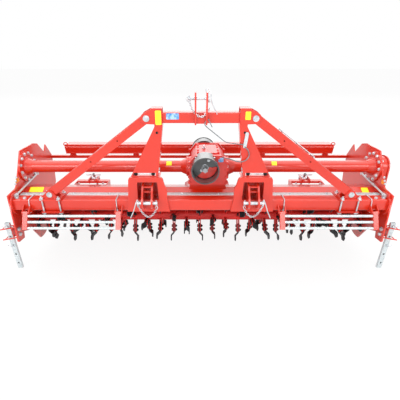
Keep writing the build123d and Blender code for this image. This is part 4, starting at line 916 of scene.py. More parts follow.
def hang_chain(bench: Bench, points: Sequence[Vector], pitch: float, wire: float) -> None:
    """Lay chain links along a path, each a quarter turn from the last.

    Args:
        bench: bench that gets the links.
        points: path of the chain.
        pitch: from one link to the next.
        wire: radius of the link's wire.
    """
    path = softened_path(points, 0.05, 8)
    link = chain_link(pitch, wire)
    travelled, turn = pitch / 2, 0
    for start, end in zip(path, path[1:]):
        run = end - start
        while run.length > 1e-9 and travelled <= run.length:
            place = axes_at(start + run.normalized() * travelled, run)
            bench.stamp(link, place @ Matrix.Rotation(math.pi / 2 * turn, 4, "Z"))
            turn += 1
            travelled += pitch
        travelled -= run.length
    bpy.data.meshes.remove(link)


def sagging(start: Vector, end: Vector, drop: float, steps: int = 10) -> list[Vector]:
    """Points of a chain that hangs between two points, drop below their middle.

    Args:
        start: one end.
        end: the other end.
        drop: how far the middle hangs.
        steps: pieces of the path.

    Returns:
        Points of the path.
    """
    start, end = Vector(start), Vector(end)
    return [start.lerp(end, k / steps) - Z_AXIS * drop * 4 * (k / steps) * (1 - k / steps)
            for k in range(steps + 1)]


# ---- sub-assemblies ------------------------------------------------------------------------------


@dataclass
class DriveLine(SubAssembly):
    """Bolts and welds of the drive tubes that run from the gearbox to both side plates."""

    plate_circle: float = 0.121
    plate_bolts: int = 12
    plate_phase: float = 0.13
    gearbox_circle: float = 0.0815
    gearbox_bolts: int = 8
    gearbox_phase: float = 0.2
    flange_t: float = 0.014
    cone_r: float = 0.080
    bead_off: float = 0.001        # from the face and the cone to a bead's middle
    gearbox_reach: float = 0.174   # gearbox middle to a side flange

    def build(self) -> None:
        """Make both flange patterns and the beads round the cones."""
        bolts, painted, beads = Bench(), Bench(), Bench()
        reach = self.gearbox_reach + self.flange_t
        for _, sign in SIDES:
            outer = Vector((sign * (self.layout.plate - self.flange_t), *self.layout.drive.yz))
            inner = Vector((self.layout.gearbox_x + sign * reach, *self.layout.drive.yz))
            self.round_pattern(bolts, Fastener(0.014), outer, -sign * X_AXIS, self.plate_circle,
                               self.plate_bolts, self.plate_phase)
            self.round_pattern(painted, Fastener(0.009, False), inner, sign * X_AXIS,
                               self.gearbox_circle, self.gearbox_bolts, self.gearbox_phase)
            off = sign * X_AXIS * self.bead_off
            for spot in (outer - off, inner + off):
                beads.round_bead(spot, X_AXIS, self.cone_r + self.bead_off)
        self.add(bolts, "drive_flange_bolts", "frame", Coating.ZINC_PIN)
        self.add(painted, "gearbox_flange_bolts", "frame", Coating.RED_CASTING)
        self.add(beads, "drive_tube_welds", "frame", Coating.RED_ENAMEL, self.palette.bead)


@dataclass
class GearboxTrim(SubAssembly):
    """Flange bolts, cover bolts, breather, plugs and sight glass of the gearbox."""

    rim_half: float = 0.160        # lug middles, from the gearbox's middle
    rim_rows: tuple[float, ...] = (0.812, 0.863, 0.931, 0.984)
    crown_half: float = 0.083      # outer bolts of the row of three under the roof
    crown_drop: float = 0.022
    cap_circle: float = 0.064      # bearing cap round the shaft
    cap_out: float = 0.012
    cover_half: float = 0.088
    cover_rows: tuple[float, ...] = (-0.172, -0.110, -0.020, 0.042)
    breather: tuple[float, float] = (-0.035, -0.065)      # X from the gearbox's middle, and Y
    plug: tuple[float, float, float] = (0.150, 0.060, 0.838)      # X from the middle, Y and Z
    eye: tuple[float, float, float] = (0.150, -0.215, 0.905)      # sight glass, likewise

    def build(self) -> None:
        """Make the fasteners and the small fittings."""
        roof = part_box("gearbox")[1].z
        x, shaft = self.layout.gearbox_x, self.layout.shaft
        bolts = Bench()
        for y, axis in zip(self.layout.gearbox_faces, (-Y_AXIS, Y_AXIS)):
            points = [(x + s * self.rim_half, y, z) for z in self.rim_rows for s in (-1, 1)]
            points += [(x + s * self.crown_half, y, roof - self.crown_drop) for s in (-1, 0, 1)]
            self.set_of(bolts, Fastener(0.012), points, axis)
            cap = Vector((shaft.x, y, shaft.z)) + axis * self.cap_out
            self.round_pattern(bolts, Fastener(0.009, False), cap, axis, self.cap_circle, 6, 0.3)
        cover = [(x + s * self.cover_half, y, roof) for s in (-1, 1) for y in self.cover_rows]
        self.set_of(bolts, Fastener(0.009), cover, Z_AXIS)
        self.add(bolts, "gearbox_bolts", "frame", Coating.RED_CASTING)

        fittings = Bench()
        seat = Vector((x + self.breather[0], self.breather[1], roof))
        neck, top = seat + Z_AXIS * 0.012, seat + Z_AXIS * 0.034
        fittings.bar(seat, neck, 0.017, 6)
        fittings.bar(neck, top, 0.012, 16, 0.010, 0.002)
        reach, *side = self.plug
        for axis in (X_AXIS, -X_AXIS):
            plug = Vector((x, *side)) + axis * reach
            fittings.bar(plug, plug + axis * 0.006, 0.018, 16)
            fittings.bar(plug + axis * 0.006, plug + axis * 0.016, 0.011, 6, edge=0.001)
        self.add(fittings, "gearbox_plugs", "frame", Coating.ZINC_PIN)

        glass = Bench()
        eye = Vector((x + self.eye[0], *self.eye[1:]))
        glass.bar(eye, eye + X_AXIS * 0.007, 0.014, 20, edge=0.002)
        self.add(glass, "oil_sight_glass", "frame", Coating.ZINC_PIN, self.palette.glass)


@dataclass
class GuardBells(SubAssembly):
    """Sleeve, pad and a dark sheet of painted shadow inside the front shaft guard, and the screws of both guards.
    """

    radius: float = 0.113
    wall: float = 0.006
    screw_out: float = 0.014       # screws, from the gearbox's flanges
    sleeve_ends: tuple[float, float] = (0.004, 0.074)      # from the casting's front
    pad_reach: float = 0.104
    pad_t: float = 0.020
    pad_out: float = 0.009
    pad_foot: tuple[tuple[float, float], ...] = ((0.052, -0.006), (0.004, -0.028),
                                                 (-0.034, -0.052))
    # a dark plastic sheet paints the shadow of the guard's rim on the casting's face
    shadow_sheet_t: float = 0.002
    shadow_sheet_out: float = 0.031
    notch: tuple[tuple[float, float], ...] = (         # opening of the shadow sheet round the shaft
        (-0.030, -0.050), (-0.029, -0.010), (-0.020, 0.020), (0.0, 0.029), (0.020, 0.020),
        (0.029, -0.001), (0.060, 0.002))
    shadow_sheet_bolts: tuple[tuple[float, float], ...] = ((-0.03, -0.029), (0.03, 0.061))

    def build(self) -> None:
        """Make the screws, the sleeve, the casting's pad, and a dark sheet, with its bolts, that paints the guard
        rim's shadow on the casting.
        """
        x, z = self.layout.shaft.x, self.layout.shaft.z
        front, rear = self.layout.gearbox_faces
        screws = Bench()
        shape = Fastener(0.007).shape()
        for y in (front - self.screw_out, rear + self.screw_out):
            for k in range(4):
                angle = math.pi / 4 + k * math.pi / 2
                out = Vector((math.cos(angle), 0, math.sin(angle)))
                screws.stamp(shape, axes_at(Vector((x, y, z)) + out * self.radius, out, Y_AXIS))
        self.add(screws, "guard_screws", "frame", Coating.ZINC_PIN)

        sleeve = Bench()
        start, end = [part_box("gearbox")[0].y + reach for reach in self.sleeve_ends]
        sleeve.tube((x, start, z), (x, end, z), self.radius, self.radius - self.wall)
        self.add(sleeve, "guard_sleeve", "frame", Coating.GUARD_PLASTIC)

        pad = Bench()
        outline = self.arc(math.radians(-128), math.radians(3), 16) + list(self.pad_foot)
        place = axes_at(Vector((x, front - self.pad_out, z)), -Y_AXIS)
        pad.slab(outline, place, self.pad_t, 0.002)
        self.add(pad, "gearbox_pad", "frame", Coating.RED_CASTING)

        # painted shadow: a dark sheet over the upper left of the casting's face, where the rim's shadow falls
        sheet, heads = Bench(), Bench()
        outline = self.arc(math.radians(5), math.radians(230), 24) + list(self.notch)
        place = axes_at(Vector((x, front - self.shadow_sheet_out, z)), -Y_AXIS)
        sheet.slab(outline, place, self.shadow_sheet_t)
        self.add(sheet, "shaft_shadow_sheet", "frame", Coating.GUARD_PLASTIC)
        face = front - self.shadow_sheet_out - self.shadow_sheet_t
        self.set_of(heads, Fastener(0.011), [(x + across, face, z + up)
                                             for across, up in self.shadow_sheet_bolts], -Y_AXIS)
        self.add(heads, "shadow_sheet_bolts", "frame", Coating.ZINC_PIN)

    def arc(self, first: float, last: float, steps: int) -> list[tuple[float, float]]:
        """Points of an arc about the shaft, at the pad's reach.

        Args:
            first: angle of the first point.
            last: angle of the last point.
            steps: how many pieces the arc has.

        Returns:
            Points in the plane across the shaft.
        """
        angles = [first + (last - first) * k / steps for k in range(steps + 1)]
        return [(self.pad_reach * math.cos(a), self.pad_reach * math.sin(a)) for a in angles]


@dataclass
class LowerHitch(SubAssembly):
    """Chains, linchpins and welds of both lower hitch brackets."""

    pin_half: float = 0.083
    clip_x: float = -0.004         # linchpin's bar, outwards from the pin's end
    clip_ends: tuple[float, float] = (0.030, -0.034)
    clip_wire: tuple[tuple[float, float, float], ...] = (         # X outwards, Y and Z
        (-0.004, 0, 0.030), (0.006, -0.022, 0.012), (0.030, -0.030, -0.060),
        (0.062, -0.020, -0.128))
    split_x: float = 0.010         # inner bar, outwards from the pin's inner end
    split_ends: tuple[float, float] = (0.026, -0.030)
    chain_drop: float = 0.085
    chain_pitch: float = 0.017
    chain_wire: float = 0.0024
    weld_half: float = 0.041       # welds on both sides of a bracket's middle
    weld_y: float = -0.4515
    weld_z: tuple[float, float] = (0.660, 0.714)

    def build(self) -> None:
        """Make the pins' retainers with their chains, and the brackets' welds."""
        pins, chains, welds = Bench(), Bench(), Bench()
        for _, sign in SIDES:
            middle = Vector((sign * self.layout.hitch_x, *self.layout.hitch.yz))
            outer = middle + sign * X_AXIS * self.pin_half
            inner = middle - sign * X_AXIS * self.pin_half
            high, low = [outer + Vector((sign * self.clip_x, 0, z)) for z in self.clip_ends]
            pins.bar(high, low, 0.006, 10)
            pins.wire([outer + Vector((sign * x, y, z)) for x, y, z in self.clip_wire], 0.0045,
                      0.012)
            high, low = [inner + Vector((sign * self.split_x, 0, z)) for z in self.split_ends]
            pins.bar(high, low, 0.005, 10)
            pins.ring(inner + Vector((sign * self.split_x, -0.004, -0.036)),
                      Vector((sign, -0.8, 0.3)), 0.017, 0.003)
            start = inner + Vector((sign * self.split_x, -0.012, -0.048))
            end = outer + Vector((-sign * 0.010, -0.012, -0.024))
            hang_chain(chains, sagging(start, end, self.chain_drop), self.chain_pitch,
                       self.chain_wire)
            for x in (middle.x - self.weld_half, middle.x + self.weld_half):
                low, high = [Vector((x, self.weld_y, z)) for z in self.weld_z]
                welds.bead(low, high)
        self.add(pins, "hitch_linchpins", "frame", Coating.ZINC_PIN)
        self.add(chains, "hitch_chains", "frame", Coating.ZINC_PIN)
        self.add(welds, "hitch_welds", "frame", Coating.RED_ENAMEL, self.palette.bead)


@dataclass
class Mast(SubAssembly):
    """Retainers, shaft hook, support cable, bolts and welds of the mast."""

    tube_top: float = 1.446
    tube_front: float = -0.430
    tube_half: float = 0.290
    slot_y: float = -0.418         # face in an upright's foot slot
    slot_z: float = 0.957
    # X of the dark bolts that paint the shade in a foot slot
    slot_bolts: tuple[float, float] = (0.385, 0.525)
    slot_bar: tuple[float, float] = (0.402, 0.505)
    bar_y: float = -0.424
    plug_x: float = 0.335          # plug in an upright's hole
    plug_y: tuple[float, float] = (-0.4365, -0.380)
    plug_z: float = 1.296
    bracket_bolts: tuple[tuple[float, float, float], ...] = ((0.339, -0.408, 0.998),
                                                             (0.342, -0.408, 0.968))
    ring_y: float = -0.330         # strut pins' rings, behind the struts
    strap_half: float = 0.013
    strap_t: float = 0.005
    rod_off: float = 0.0455        # tool rod, from the strut's middle line

    def build(self) -> None:
        """Make the mast's trim."""
        self.retainers()
        self.shaft_support()
        self.welds()
        self.foot_bolts()

    def foot_bolts(self) -> None:
        """Make the foot slots' dark bolts, which paint the slot's shade, and bright bars, the plugs and the
        brackets' bolts.
        """
        dark, bright = Bench(), Bench()
        for _, sign in SIDES:
            # painted shade: the slot between an upright's foot and its bracket lies in shade, and these dark bolts
            # stand for it
            slot = [(sign * x, self.slot_y, self.slot_z) for x in self.slot_bolts]
            self.set_of(dark, Fastener(0.014), slot, -Y_AXIS)
            start, end = [(sign * self.plug_x, y, self.plug_z) for y in self.plug_y]
            dark.bar(start, end, 0.0086, 14, edge=0.001)
            start, end = [(sign * x, self.bar_y, self.slot_z) for x in self.slot_bar]
            bright.bar(start, end, 0.0065, 12, edge=0.001)
            bracket = [(sign * x, y, z) for x, y, z in self.bracket_bolts]
            self.set_of(bright, Fastener(0.012), bracket, -sign * X_AXIS)
        self.add(dark, "foot_slot_shade_bolts", "frame", Coating.BLADE_STEEL, self.palette.dark_bolt)
        self.add(bright, "foot_slot_bars", "frame", Coating.ZINC_PIN)

    def retainers(self) -> None:
        """Make the top link pin's ring and linchpin, their chain, and the strut pins' rings."""
        pin = self.layout.top_pin
        work = Bench()
        left, right = pin + Vector((-0.086, 0, 0)), pin + Vector((0.056, 0, 0))
        work.bar(left + Vector((0, 0, 0.020)), left + Vector((0, 0, -0.022)), 0.005, 10)
        work.ring(left + Vector((-0.004, -0.014, -0.004)), Vector((0.4, -1, 0.2)), 0.017, 0.0035)
        head = right + Vector((-0.020, 0, 0.060))
        work.bar(head, right + Vector((0.004, 0, -0.030)), 0.007, 12)
        work.wire([head, right + Vector((0.0, -0.010, 0.066)),
                   right + Vector((0.012, -0.016, 0.030)), right + Vector((0.020, -0.014, -0.030)),
                   right + Vector((0.060, -0.012, -0.112))], 0.0035, 0.012)
        for _, sign in SIDES:
            for spot in (self.layout.strut_head, self.layout.strut_foot):
                behind = Vector((sign * spot.x, self.ring_y, spot.z))
                work.ring(behind + Vector((0, 0.004, -0.018)), Vector((1, 0.3, 0)), 0.019, 0.0025)
        self.add(work, "mast_retainers", "frame", Coating.ZINC_PIN)

        chain = Bench()
        start = left + Vector((0.0, -0.016, -0.022))
        end = Vector((-0.058, -0.452, self.tube_top + 0.010))
        hang_chain(chain, sagging(start, end, 0.006), 0.015, 0.0018)
        start = Vector((-0.056, -0.462, self.tube_top + 0.020))
        end = Vector((0.058, -0.462, self.tube_top + 0.030))
        hang_chain(chain, sagging(start, end, 0.050), 0.015, 0.0026)
        self.add(chain, "top_link_chain", "frame", Coating.ZINC_PIN)

    def shaft_support(self) -> None:
        """Make the hook that holds the drive shaft up off the tractor, its strap and cable."""
        work = Bench()
        hook = [(0.062, -0.452, 1.402), (0.040, -0.456, 1.396), (0.024, -0.456, 1.366),
                (0.040, -0.452, 1.346), (0.192, -0.436, 1.222), (0.330, -0.436, 1.204)]
        work.wire(hook, 0.0040, 0.020)
        spur = [(0.052, -0.456, 1.404), (0.066, -0.460, 1.376), (0.084, -0.462, 1.344)]
        work.wire(spur, 0.0035, 0.01)
        self.add(work, "shaft_hook_wire", "frame", Coating.ZINC_PIN, self.palette.dull_wire)

        strap = Bench()
        top, foot = Vector((0.352, -0.434, 1.290)), Vector((0.340, -0.434, 1.188))
        run = foot - top
        place = axes_at(top, -Y_AXIS, -run)
        half, length, tongue = self.strap_half, run.length, 0.010
        outline = [(-half, 0), (-half * 0.6, tongue), (half * 0.6, tongue), (half, 0),
                   (half, -length), (half * 0.6, -length - tongue),
                   (-half * 0.6, -length - tongue), (-half, -length)]
        strap.slab(outline, place, self.strap_t, 0.0008)
        shape = Fastener(0.008).shape()
        for share in (0.12, 0.9):
            strap.stamp(shape, axes_at(top + run * share - Y_AXIS * self.strap_t, -Y_AXIS))
        self.add(strap, "shaft_hook_strap", "frame", Coating.GALVANISED)

        cable = Bench()
        loop = [(0.339, -0.443, 1.19), (0.364, -0.446, 1.168), (0.381, -0.447, 1.123),
                (0.364, -0.447, 1.087), (0.328, -0.447, 1.068), (0.29, -0.438, 1.068),
                (0.261, -0.4, 1.066), (0.241, -0.34, 1.055), (0.180, -0.245, 1.040)]
        cable.wire(loop, 0.0045, 0.024)
        self.add(cable, "shaft_support_cable", "frame", Coating.ZINC_PIN, self.palette.dull_wire)

        rod = Bench()
        run = self.layout.strut_foot - self.layout.strut_head
        up = Vector((-run.z, 0, run.x)).normalized()
        start, end = [self.layout.strut_head + run * share + up * self.rod_off
                      for share in (0.19, 0.56)]
        rod.wire([start - up * 0.008, start, end, end - up * 0.008], 0.005, 0.006)
        half_grip = run.normalized() * 0.008
        for share in (0.1, 0.5, 0.9):
            spot = start.lerp(end, share)
            rod.bar(spot - half_grip, spot + half_grip, 0.0085, 12)
        self.add(rod, "strut_tool_rod", "frame", Coating.ZINC_PIN)

    def welds(self) -> None:
        """Make the beads round the cross tube's ends and along the yoke's ears."""
        beads = Bench()
        front, top = self.tube_front, self.tube_top
        for _, sign in SIDES:
            x = sign * self.tube_half
            beads.bead((x, front - 0.009, top - 0.076), (x, front - 0.009, top - 0.004))
            for ear in (0.035, 0.047):
                x = sign * ear
                beads.bead((x, front - 0.002, top - 0.080), (x, front - 0.002, top - 0.010), 0.003)
            beads.bead((x, front, top + 0.001), (x, front + 0.055, top + 0.001), 0.003)
        self.add(beads, "mast_welds", "frame", Coating.RED_ENAMEL, self.palette.bead)


@dataclass
class BeamTrim(SubAssembly):
    """Guard stays, closing bars, clamp studs and end bolts along the front beam."""

    front: float = -0.430
    rear: float = -0.330
    top: float = 0.724
    bottom: float = 0.624
    stay_r: float = 0.0042
    strut_x: float = 1.262         # middle of the strut's clamp on the beam
    stud_half: float = 0.071       # studs on both sides of that
    stud_out: float = 0.012        # studs, from the beam's faces
    stud_r: float = 0.0068
    clamp_t: float = 0.010
    clamp_room: float = 0.095      # closing bars stop this far from a clamp's middle
    end_room: float = 0.015        # and this far from a side plate
    bar_outline: tuple[tuple[float, float], ...] = (         # section of a closing bar, as (Y, Z)
        (-0.3285, 0.6915), (-0.2660, 0.6915), (-0.2620, 0.6960), (-0.2660, 0.7165),
        (-0.2740, 0.7215), (-0.3240, 0.7225), (-0.3285, 0.7190))
    bar_bolt: tuple[float, float] = (-0.297, 0.7218)
    bar_bolt_in: float = 0.05      # first and last bolt, from a bar's ends
    bar_bolt_pitch: float = 0.29
    brace_bolts: tuple[tuple[float, float], ...] = ((-0.312, 0.820), (-0.296, 0.842),
                                                    (-0.276, 0.866))
    nose_bolts: tuple[tuple[float, float], ...] = ((-0.440, 0.444), (-0.440, 0.391))

    def build(self) -> None:
        """Make the beam's trim."""
        self.stays()
        self.end_bolts()
        self.ledge_bars()
        self.clamp_studs()

    def clamp_studs(self) -> None:
        """Make the struts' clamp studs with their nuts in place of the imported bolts."""
        studs = Bench()
        low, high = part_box("clamp_bolts")
        spots = [(sign * (self.strut_x + x), y) for _, sign in SIDES
                 for x in (-self.stud_half, self.stud_half)
                 for y in (self.front - self.stud_out, self.rear + self.stud_out)]
        for x, y in spots:
            studs.bar((x, y, low.z), (x, y, high.z), self.stud_r, 12, edge=0.001)
        for z, axis in ((self.top + self.clamp_t, Z_AXIS), (self.bottom - self.clamp_t, -Z_AXIS)):
            self.set_of(studs, Fastener(0.018), [(x, y, z) for x, y in spots], axis)
        piece = self.add(studs, "clamp_studs", "frame", Coating.ZINC_PIN)
        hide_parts("clamp_bolts")

    def ledge_bars(self) -> None:
        """Make the closing bars bolted on the hood's ledge behind the beam."""
        bars, bolts = Bench(), Bench()
        end = self.layout.plate - self.end_room
        outer, inner = self.strut_x + self.clamp_room, self.strut_x - self.clamp_room
        along = Matrix(((0, 0, 1, 0), (1, 0, 0, 0), (0, 1, 0, 0), (0, 0, 0, 1)))
        for low, high in ((-end, -outer), (-inner, inner), (outer, end)):
            place = Matrix.Translation((low, 0, 0)) @ along
            bars.slab(self.bar_outline, place, high - low, 0.003)
            steps = max(2, round((high - low) / self.bar_bolt_pitch)) - 1
            span = high - low - 2 * self.bar_bolt_in
            points = [(low + self.bar_bolt_in + span * k / steps, *self.bar_bolt)
                      for k in range(steps + 1)]
            self.set_of(bolts, Fastener(0.010), points, Z_AXIS)
        self.add(bars, "hood_closing_bars", "frame", Coating.GALVANISED)
        self.add(bolts, "closing_bar_bolts", "frame", Coating.ZINC_PIN)

    def stays(self) -> None:
        """Make the four wires that run over the beam to the guards' hangers."""
        stays, tabs = Bench(), Bench()
        low, high = self.layout.guard_x
        for _, sign in SIDES:
            for x, lean in ((low + 0.040, 0.004), (high - 0.045, -0.010)):
                ledge = Vector((sign * (x + lean), self.rear + 0.012, self.top - 0.020))
                edge = Vector((sign * x, self.front - 0.003, self.top + 0.004))
                foot = Vector((sign * (x - lean * 0.5), self.front - 0.016, self.bottom + 0.006))
                stays.wire([ledge, Vector((edge.x, self.rear, self.top + 0.006)), edge, foot],
                           self.stay_r, 0.012)
                stays.bar(foot + Vector((0, 0, 0.012)), foot - Vector((0, 0, 0.016)), 0.010, 14,
                          edge=0.002)
                tabs.block((foot.x - 0.022, self.front - 0.030, foot.z - 0.008),
                           (foot.x + 0.022, self.front, foot.z - 0.002), 0.001)
        self.add(stays, "guard_stays", "frame", Coating.ZINC_PIN)
        self.add(tabs, "guard_stay_tabs", "frame", Coating.RED_ENAMEL)

    def end_bolts(self) -> None:
        """Make the bolts that hold the beam's ends and the braces to the side plates."""
        bolts = Bench()
        plate = self.layout.plate
        for _, sign in SIDES:
            roof = [(sign * (plate - inset), -0.395, self.top) for inset in (0.036, 0.100)]
            self.set_of(bolts, Fastener(0.014), roof, Z_AXIS)
            lug = [(sign * (plate - 0.031), -0.370, self.top + 0.018)]
            self.set_of(bolts, Fastener(0.010), lug, -sign * X_AXIS)
            for thread, spots in ((0.010, self.brace_bolts), (0.016, self.nose_bolts)):
                self.set_of(bolts, Fastener(thread), [(sign * plate, y, z) for y, z in spots],
                            -sign * X_AXIS)
        self.add(bolts, "beam_end_bolts", "frame", Coating.ZINC_PIN)


@dataclass
class SideTrim(SubAssembly):
    """Bolts and plugs of the gear case and of the left rotor bearing."""

    cover_r: tuple[float, float] = (0.094, 0.120)
    cover_in: float = 0.016        # rim's face, from the case's outermost face
    foot_t: float = 0.012          # flange of the case on the side plate
    bearing_t: float = 0.014
    eye: tuple[float, float] = (-0.110, 0.600)         # sight glass, as (Y, Z)

    def build(self) -> None:
        """Make the gear case's rim bolts, plugs and sight glass, and the bearing's bolts."""
        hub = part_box("side_gear_case")[1].x
        case = hub - self.cover_in
        face = self.layout.plate + self.layout.plate_t
        drive, rotor = self.layout.drive, self.layout.rotor
        bolts = Bench()
        shape = Fastener(0.009).shape()
        for y, z in self.rim_points(drive, rotor, 10):
            bolts.stamp(shape, axes_at(Vector((case, y, z)), X_AXIS))
        base = Fastener(0.012).shape()
        for y, z in self.rim_points(drive, rotor, 8, 0.008):
            bolts.stamp(base, axes_at(Vector((face + self.foot_t, y, z)), X_AXIS))
        bearing = -face - self.bearing_t
        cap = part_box("rotor_bearings")[0].x
        # fastener, X, centre, direction, radius of the circle, bolts, turn of the first
        for fastener, x, centre, axis, radius, count, phase in (
                (Fastener(0.009, False), hub, drive, X_AXIS, 0.040, 6, 0.0),
                (Fastener(0.010, False), hub, rotor, X_AXIS, 0.052, 6, 0.0),
                (Fastener(0.012), bearing, rotor, -X_AXIS, 0.084, 8, 0.2),
                (Fastener(0.008, False), cap, rotor, -X_AXIS, 0.040, 6, 0.0)):
            self.round_pattern(bolts, fastener, Vector((x, *centre.yz)), axis, radius, count, phase)
        self.add(bolts, "side_case_bolts", "frame", Coating.ZINC_PIN)

        plugs = Bench()
        for y, z in ((rotor.y, rotor.z - 0.100), (-0.020, 0.640), (drive.y, drive.z + 0.072)):
            spot = Vector((case, y, z))
            plugs.bar(spot, spot + X_AXIS * 0.005, 0.017, 18)
            plugs.bar(spot + X_AXIS * 0.005, spot + X_AXIS * 0.016, 0.011, 6, edge=0.001)
        self.add(plugs, "side_case_plugs", "frame", Coating.ZINC_PIN)
        glass = Bench()
        eye = Vector((case, *self.eye))
        glass.bar(eye, eye + X_AXIS * 0.006, 0.015, 20, edge=0.002)
        self.add(glass, "side_case_sight_glass", "frame", Coating.ZINC_PIN, self.palette.glass)

    def rim_points(self, drive: Vector, rotor: Vector, arc_count: int,
                   out: float = 0.0) -> list[tuple[float, float]]:
        """Points along the rim of the long case.

        Args:
            drive: centre of the upper round end.
            rotor: centre of the lower round end.
            arc_count: bolts round each end.
            out: how far beyond the cover's own bolt line.

        Returns:
            Points as (Y, Z).
        """
        points = []
        for centre, radius, first in ((drive, self.cover_r[0] + out, 0.0),
                                      (rotor, self.cover_r[1] + out, math.pi)):
            for k in range(arc_count // 2 + 1):
                angle = first + math.pi * k / (arc_count // 2)
                points.append((centre.y + radius * math.cos(angle),
                               centre.z + radius * math.sin(angle)))
        for side in (-1, 1):
            for share in (0.25, 0.5, 0.75):
                radius = (1 - share) * self.cover_r[0] + share * self.cover_r[1] + out
                points.append((drive.y + (rotor.y - drive.y) * share + side * radius,
                               drive.z + (rotor.z - drive.z) * share))
        return points


@dataclass
class Rotor(SubAssembly):
    """Bolts of the blade clamps and welds round the rotor's tube. All of it turns."""

    pitch: float = 0.127
    side_stations: int = 12
    arms: int = 4
    spiral: float = math.radians(34)
    holder_face: float = 0.013     # outer face of a holder plate from the station
    holder_half: float = 0.023
    bolt_radii: tuple[float, ...] = (0.112, 0.150)
    tube_r: float = 0.050
    end_in: float = 0.036          # beads at the tube's ends, from the side plates

    def build(self) -> None:
        """Make the clamp bolts with their nuts and the beads at the holders' feet."""
        bolts, beads = Bench(), Bench()
        head = Fastener(0.016, False, facets=8).shape()
        nut = Fastener(0.016, False, stud=0.007, facets=8).shape()
        axis_point = self.layout.rotor
        for k in range(-self.side_stations, self.side_stations + 1):
            x = k * self.pitch
            phase = self.spiral * (k + self.side_stations)
            for arm in range(self.arms):
                angle = phase + math.tau * arm / self.arms
                out = Vector((0, math.cos(angle), math.sin(angle)))
                for radius in self.bolt_radii:
                    spot = Vector((x, *axis_point.yz)) + out * radius
                    bolts.stamp(head, axes_at(spot - X_AXIS * self.holder_face, -X_AXIS, out))
                    bolts.stamp(nut, axes_at(spot + X_AXIS * self.holder_face, X_AXIS, out))
                half_weld = Vector((0, -out.z, out.y)) * self.holder_half * 0.9
                for face in (-1, 1):
                    foot = Vector((x + face * self.holder_face, *axis_point.yz))
                    foot += out * (self.tube_r - 0.001)
                    beads.wire([foot - half_weld, foot, foot + half_weld], 0.0035, sides=4)
        for sign in (-1, 1):
            beads.round_bead((sign * (self.layout.plate - self.end_in), *axis_point.yz), X_AXIS,
                             self.tube_r + 0.001, 0.005)
        self.add(bolts, "blade_bolts", "rotor", Coating.BLADE_STEEL, self.palette.dark_bolt)
        self.add(beads, "holder_welds", "rotor", Coating.ROTOR_RED, self.palette.bead)


@dataclass
class Stands(SubAssembly):
    """Open straps that guide the parking stands, and the stands' lock pins with their clips."""

    leg_out: float = 0.093         # stand's middle from the side plate's outer face
    leg_y: float = -0.410
    leg_half: float = 0.013
    strap_z: tuple[float, float] = (0.335, 0.440)
    strap_t: float = 0.008
    base_t: float = 0.008          # plate behind the straps, on the side plate
    rib_x: tuple[float, float] = (0.061, 0.067)        # upright between the straps
    pin_z: tuple[float, float] = (0.462, 0.260)        # over the upper strap, under the lower one

    def build(self) -> None:
        """Make the straps and both stands' pins."""
        self.straps()
        self.pins()

    def straps(self) -> None:
        """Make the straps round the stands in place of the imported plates."""
        bench = Bench()
        low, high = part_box("leg_sockets")
        start, end = self.layout.plate + self.layout.plate_t, high.x
        outline = [(start, -0.408), (end, -0.462), (end, -0.451), (end - 0.012, -0.4465),
                   (end - 0.012, -0.380), (start, -0.374), (start, -0.384), (end - 0.019, -0.390),
                   (end - 0.019, -0.4438), (start, -0.397)]
        for _, sign in SIDES:
            for z in self.strap_z:
                bench.slab([(sign * x, y) for x, y in outline], Matrix.Translation((0, 0, z)),
                           self.strap_t, 0.0012)
            bench.block((sign * start, -0.455, low.z),
                        (sign * (start + self.base_t), -0.388, high.z), 0.001)
            bench.block((sign * (start + self.rib_x[0]), -0.424, self.strap_z[0] + self.strap_t),
                        (sign * (start + self.rib_x[1]), -0.382, self.strap_z[1]), 0.001)
        piece = self.add(bench, "leg_straps", "frame", Coating.RED_ENAMEL)
        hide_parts("leg_sockets")

    def pins(self) -> None:
        """Make two lock pins with their clips in each stand."""
        front, rear = self.leg_y - self.leg_half - 0.014, self.leg_y + self.leg_half + 0.018
        for side, sign in SIDES:
            x = sign * (self.layout.plate + self.layout.plate_t + self.leg_out)
            pin = Bench()
            for z in self.pin_z:
                pin.bar((x, front, z), (x, rear, z), 0.0078, 14, edge=0.001)
                pin.bar((x, front - 0.003, z), (x, front, z), 0.0115, 14, edge=0.001)
                pin.wire([Vector((x, front - 0.002, z)), Vector((x, front - 0.010, z)),
                          Vector((x + sign * 0.030, front - 0.010, z + 0.012)),
                          Vector((x + sign * 0.034, front - 0.002, z + 0.012))], 0.003, 0.005)
                pin.ring((x, rear - 0.006, z - 0.006), Vector((1, 0.3, 0)), 0.012, 0.0016)
            self.add(pin, f"stand_pins_{side}", f"leg_{side}", Coating.ZINC_PIN)


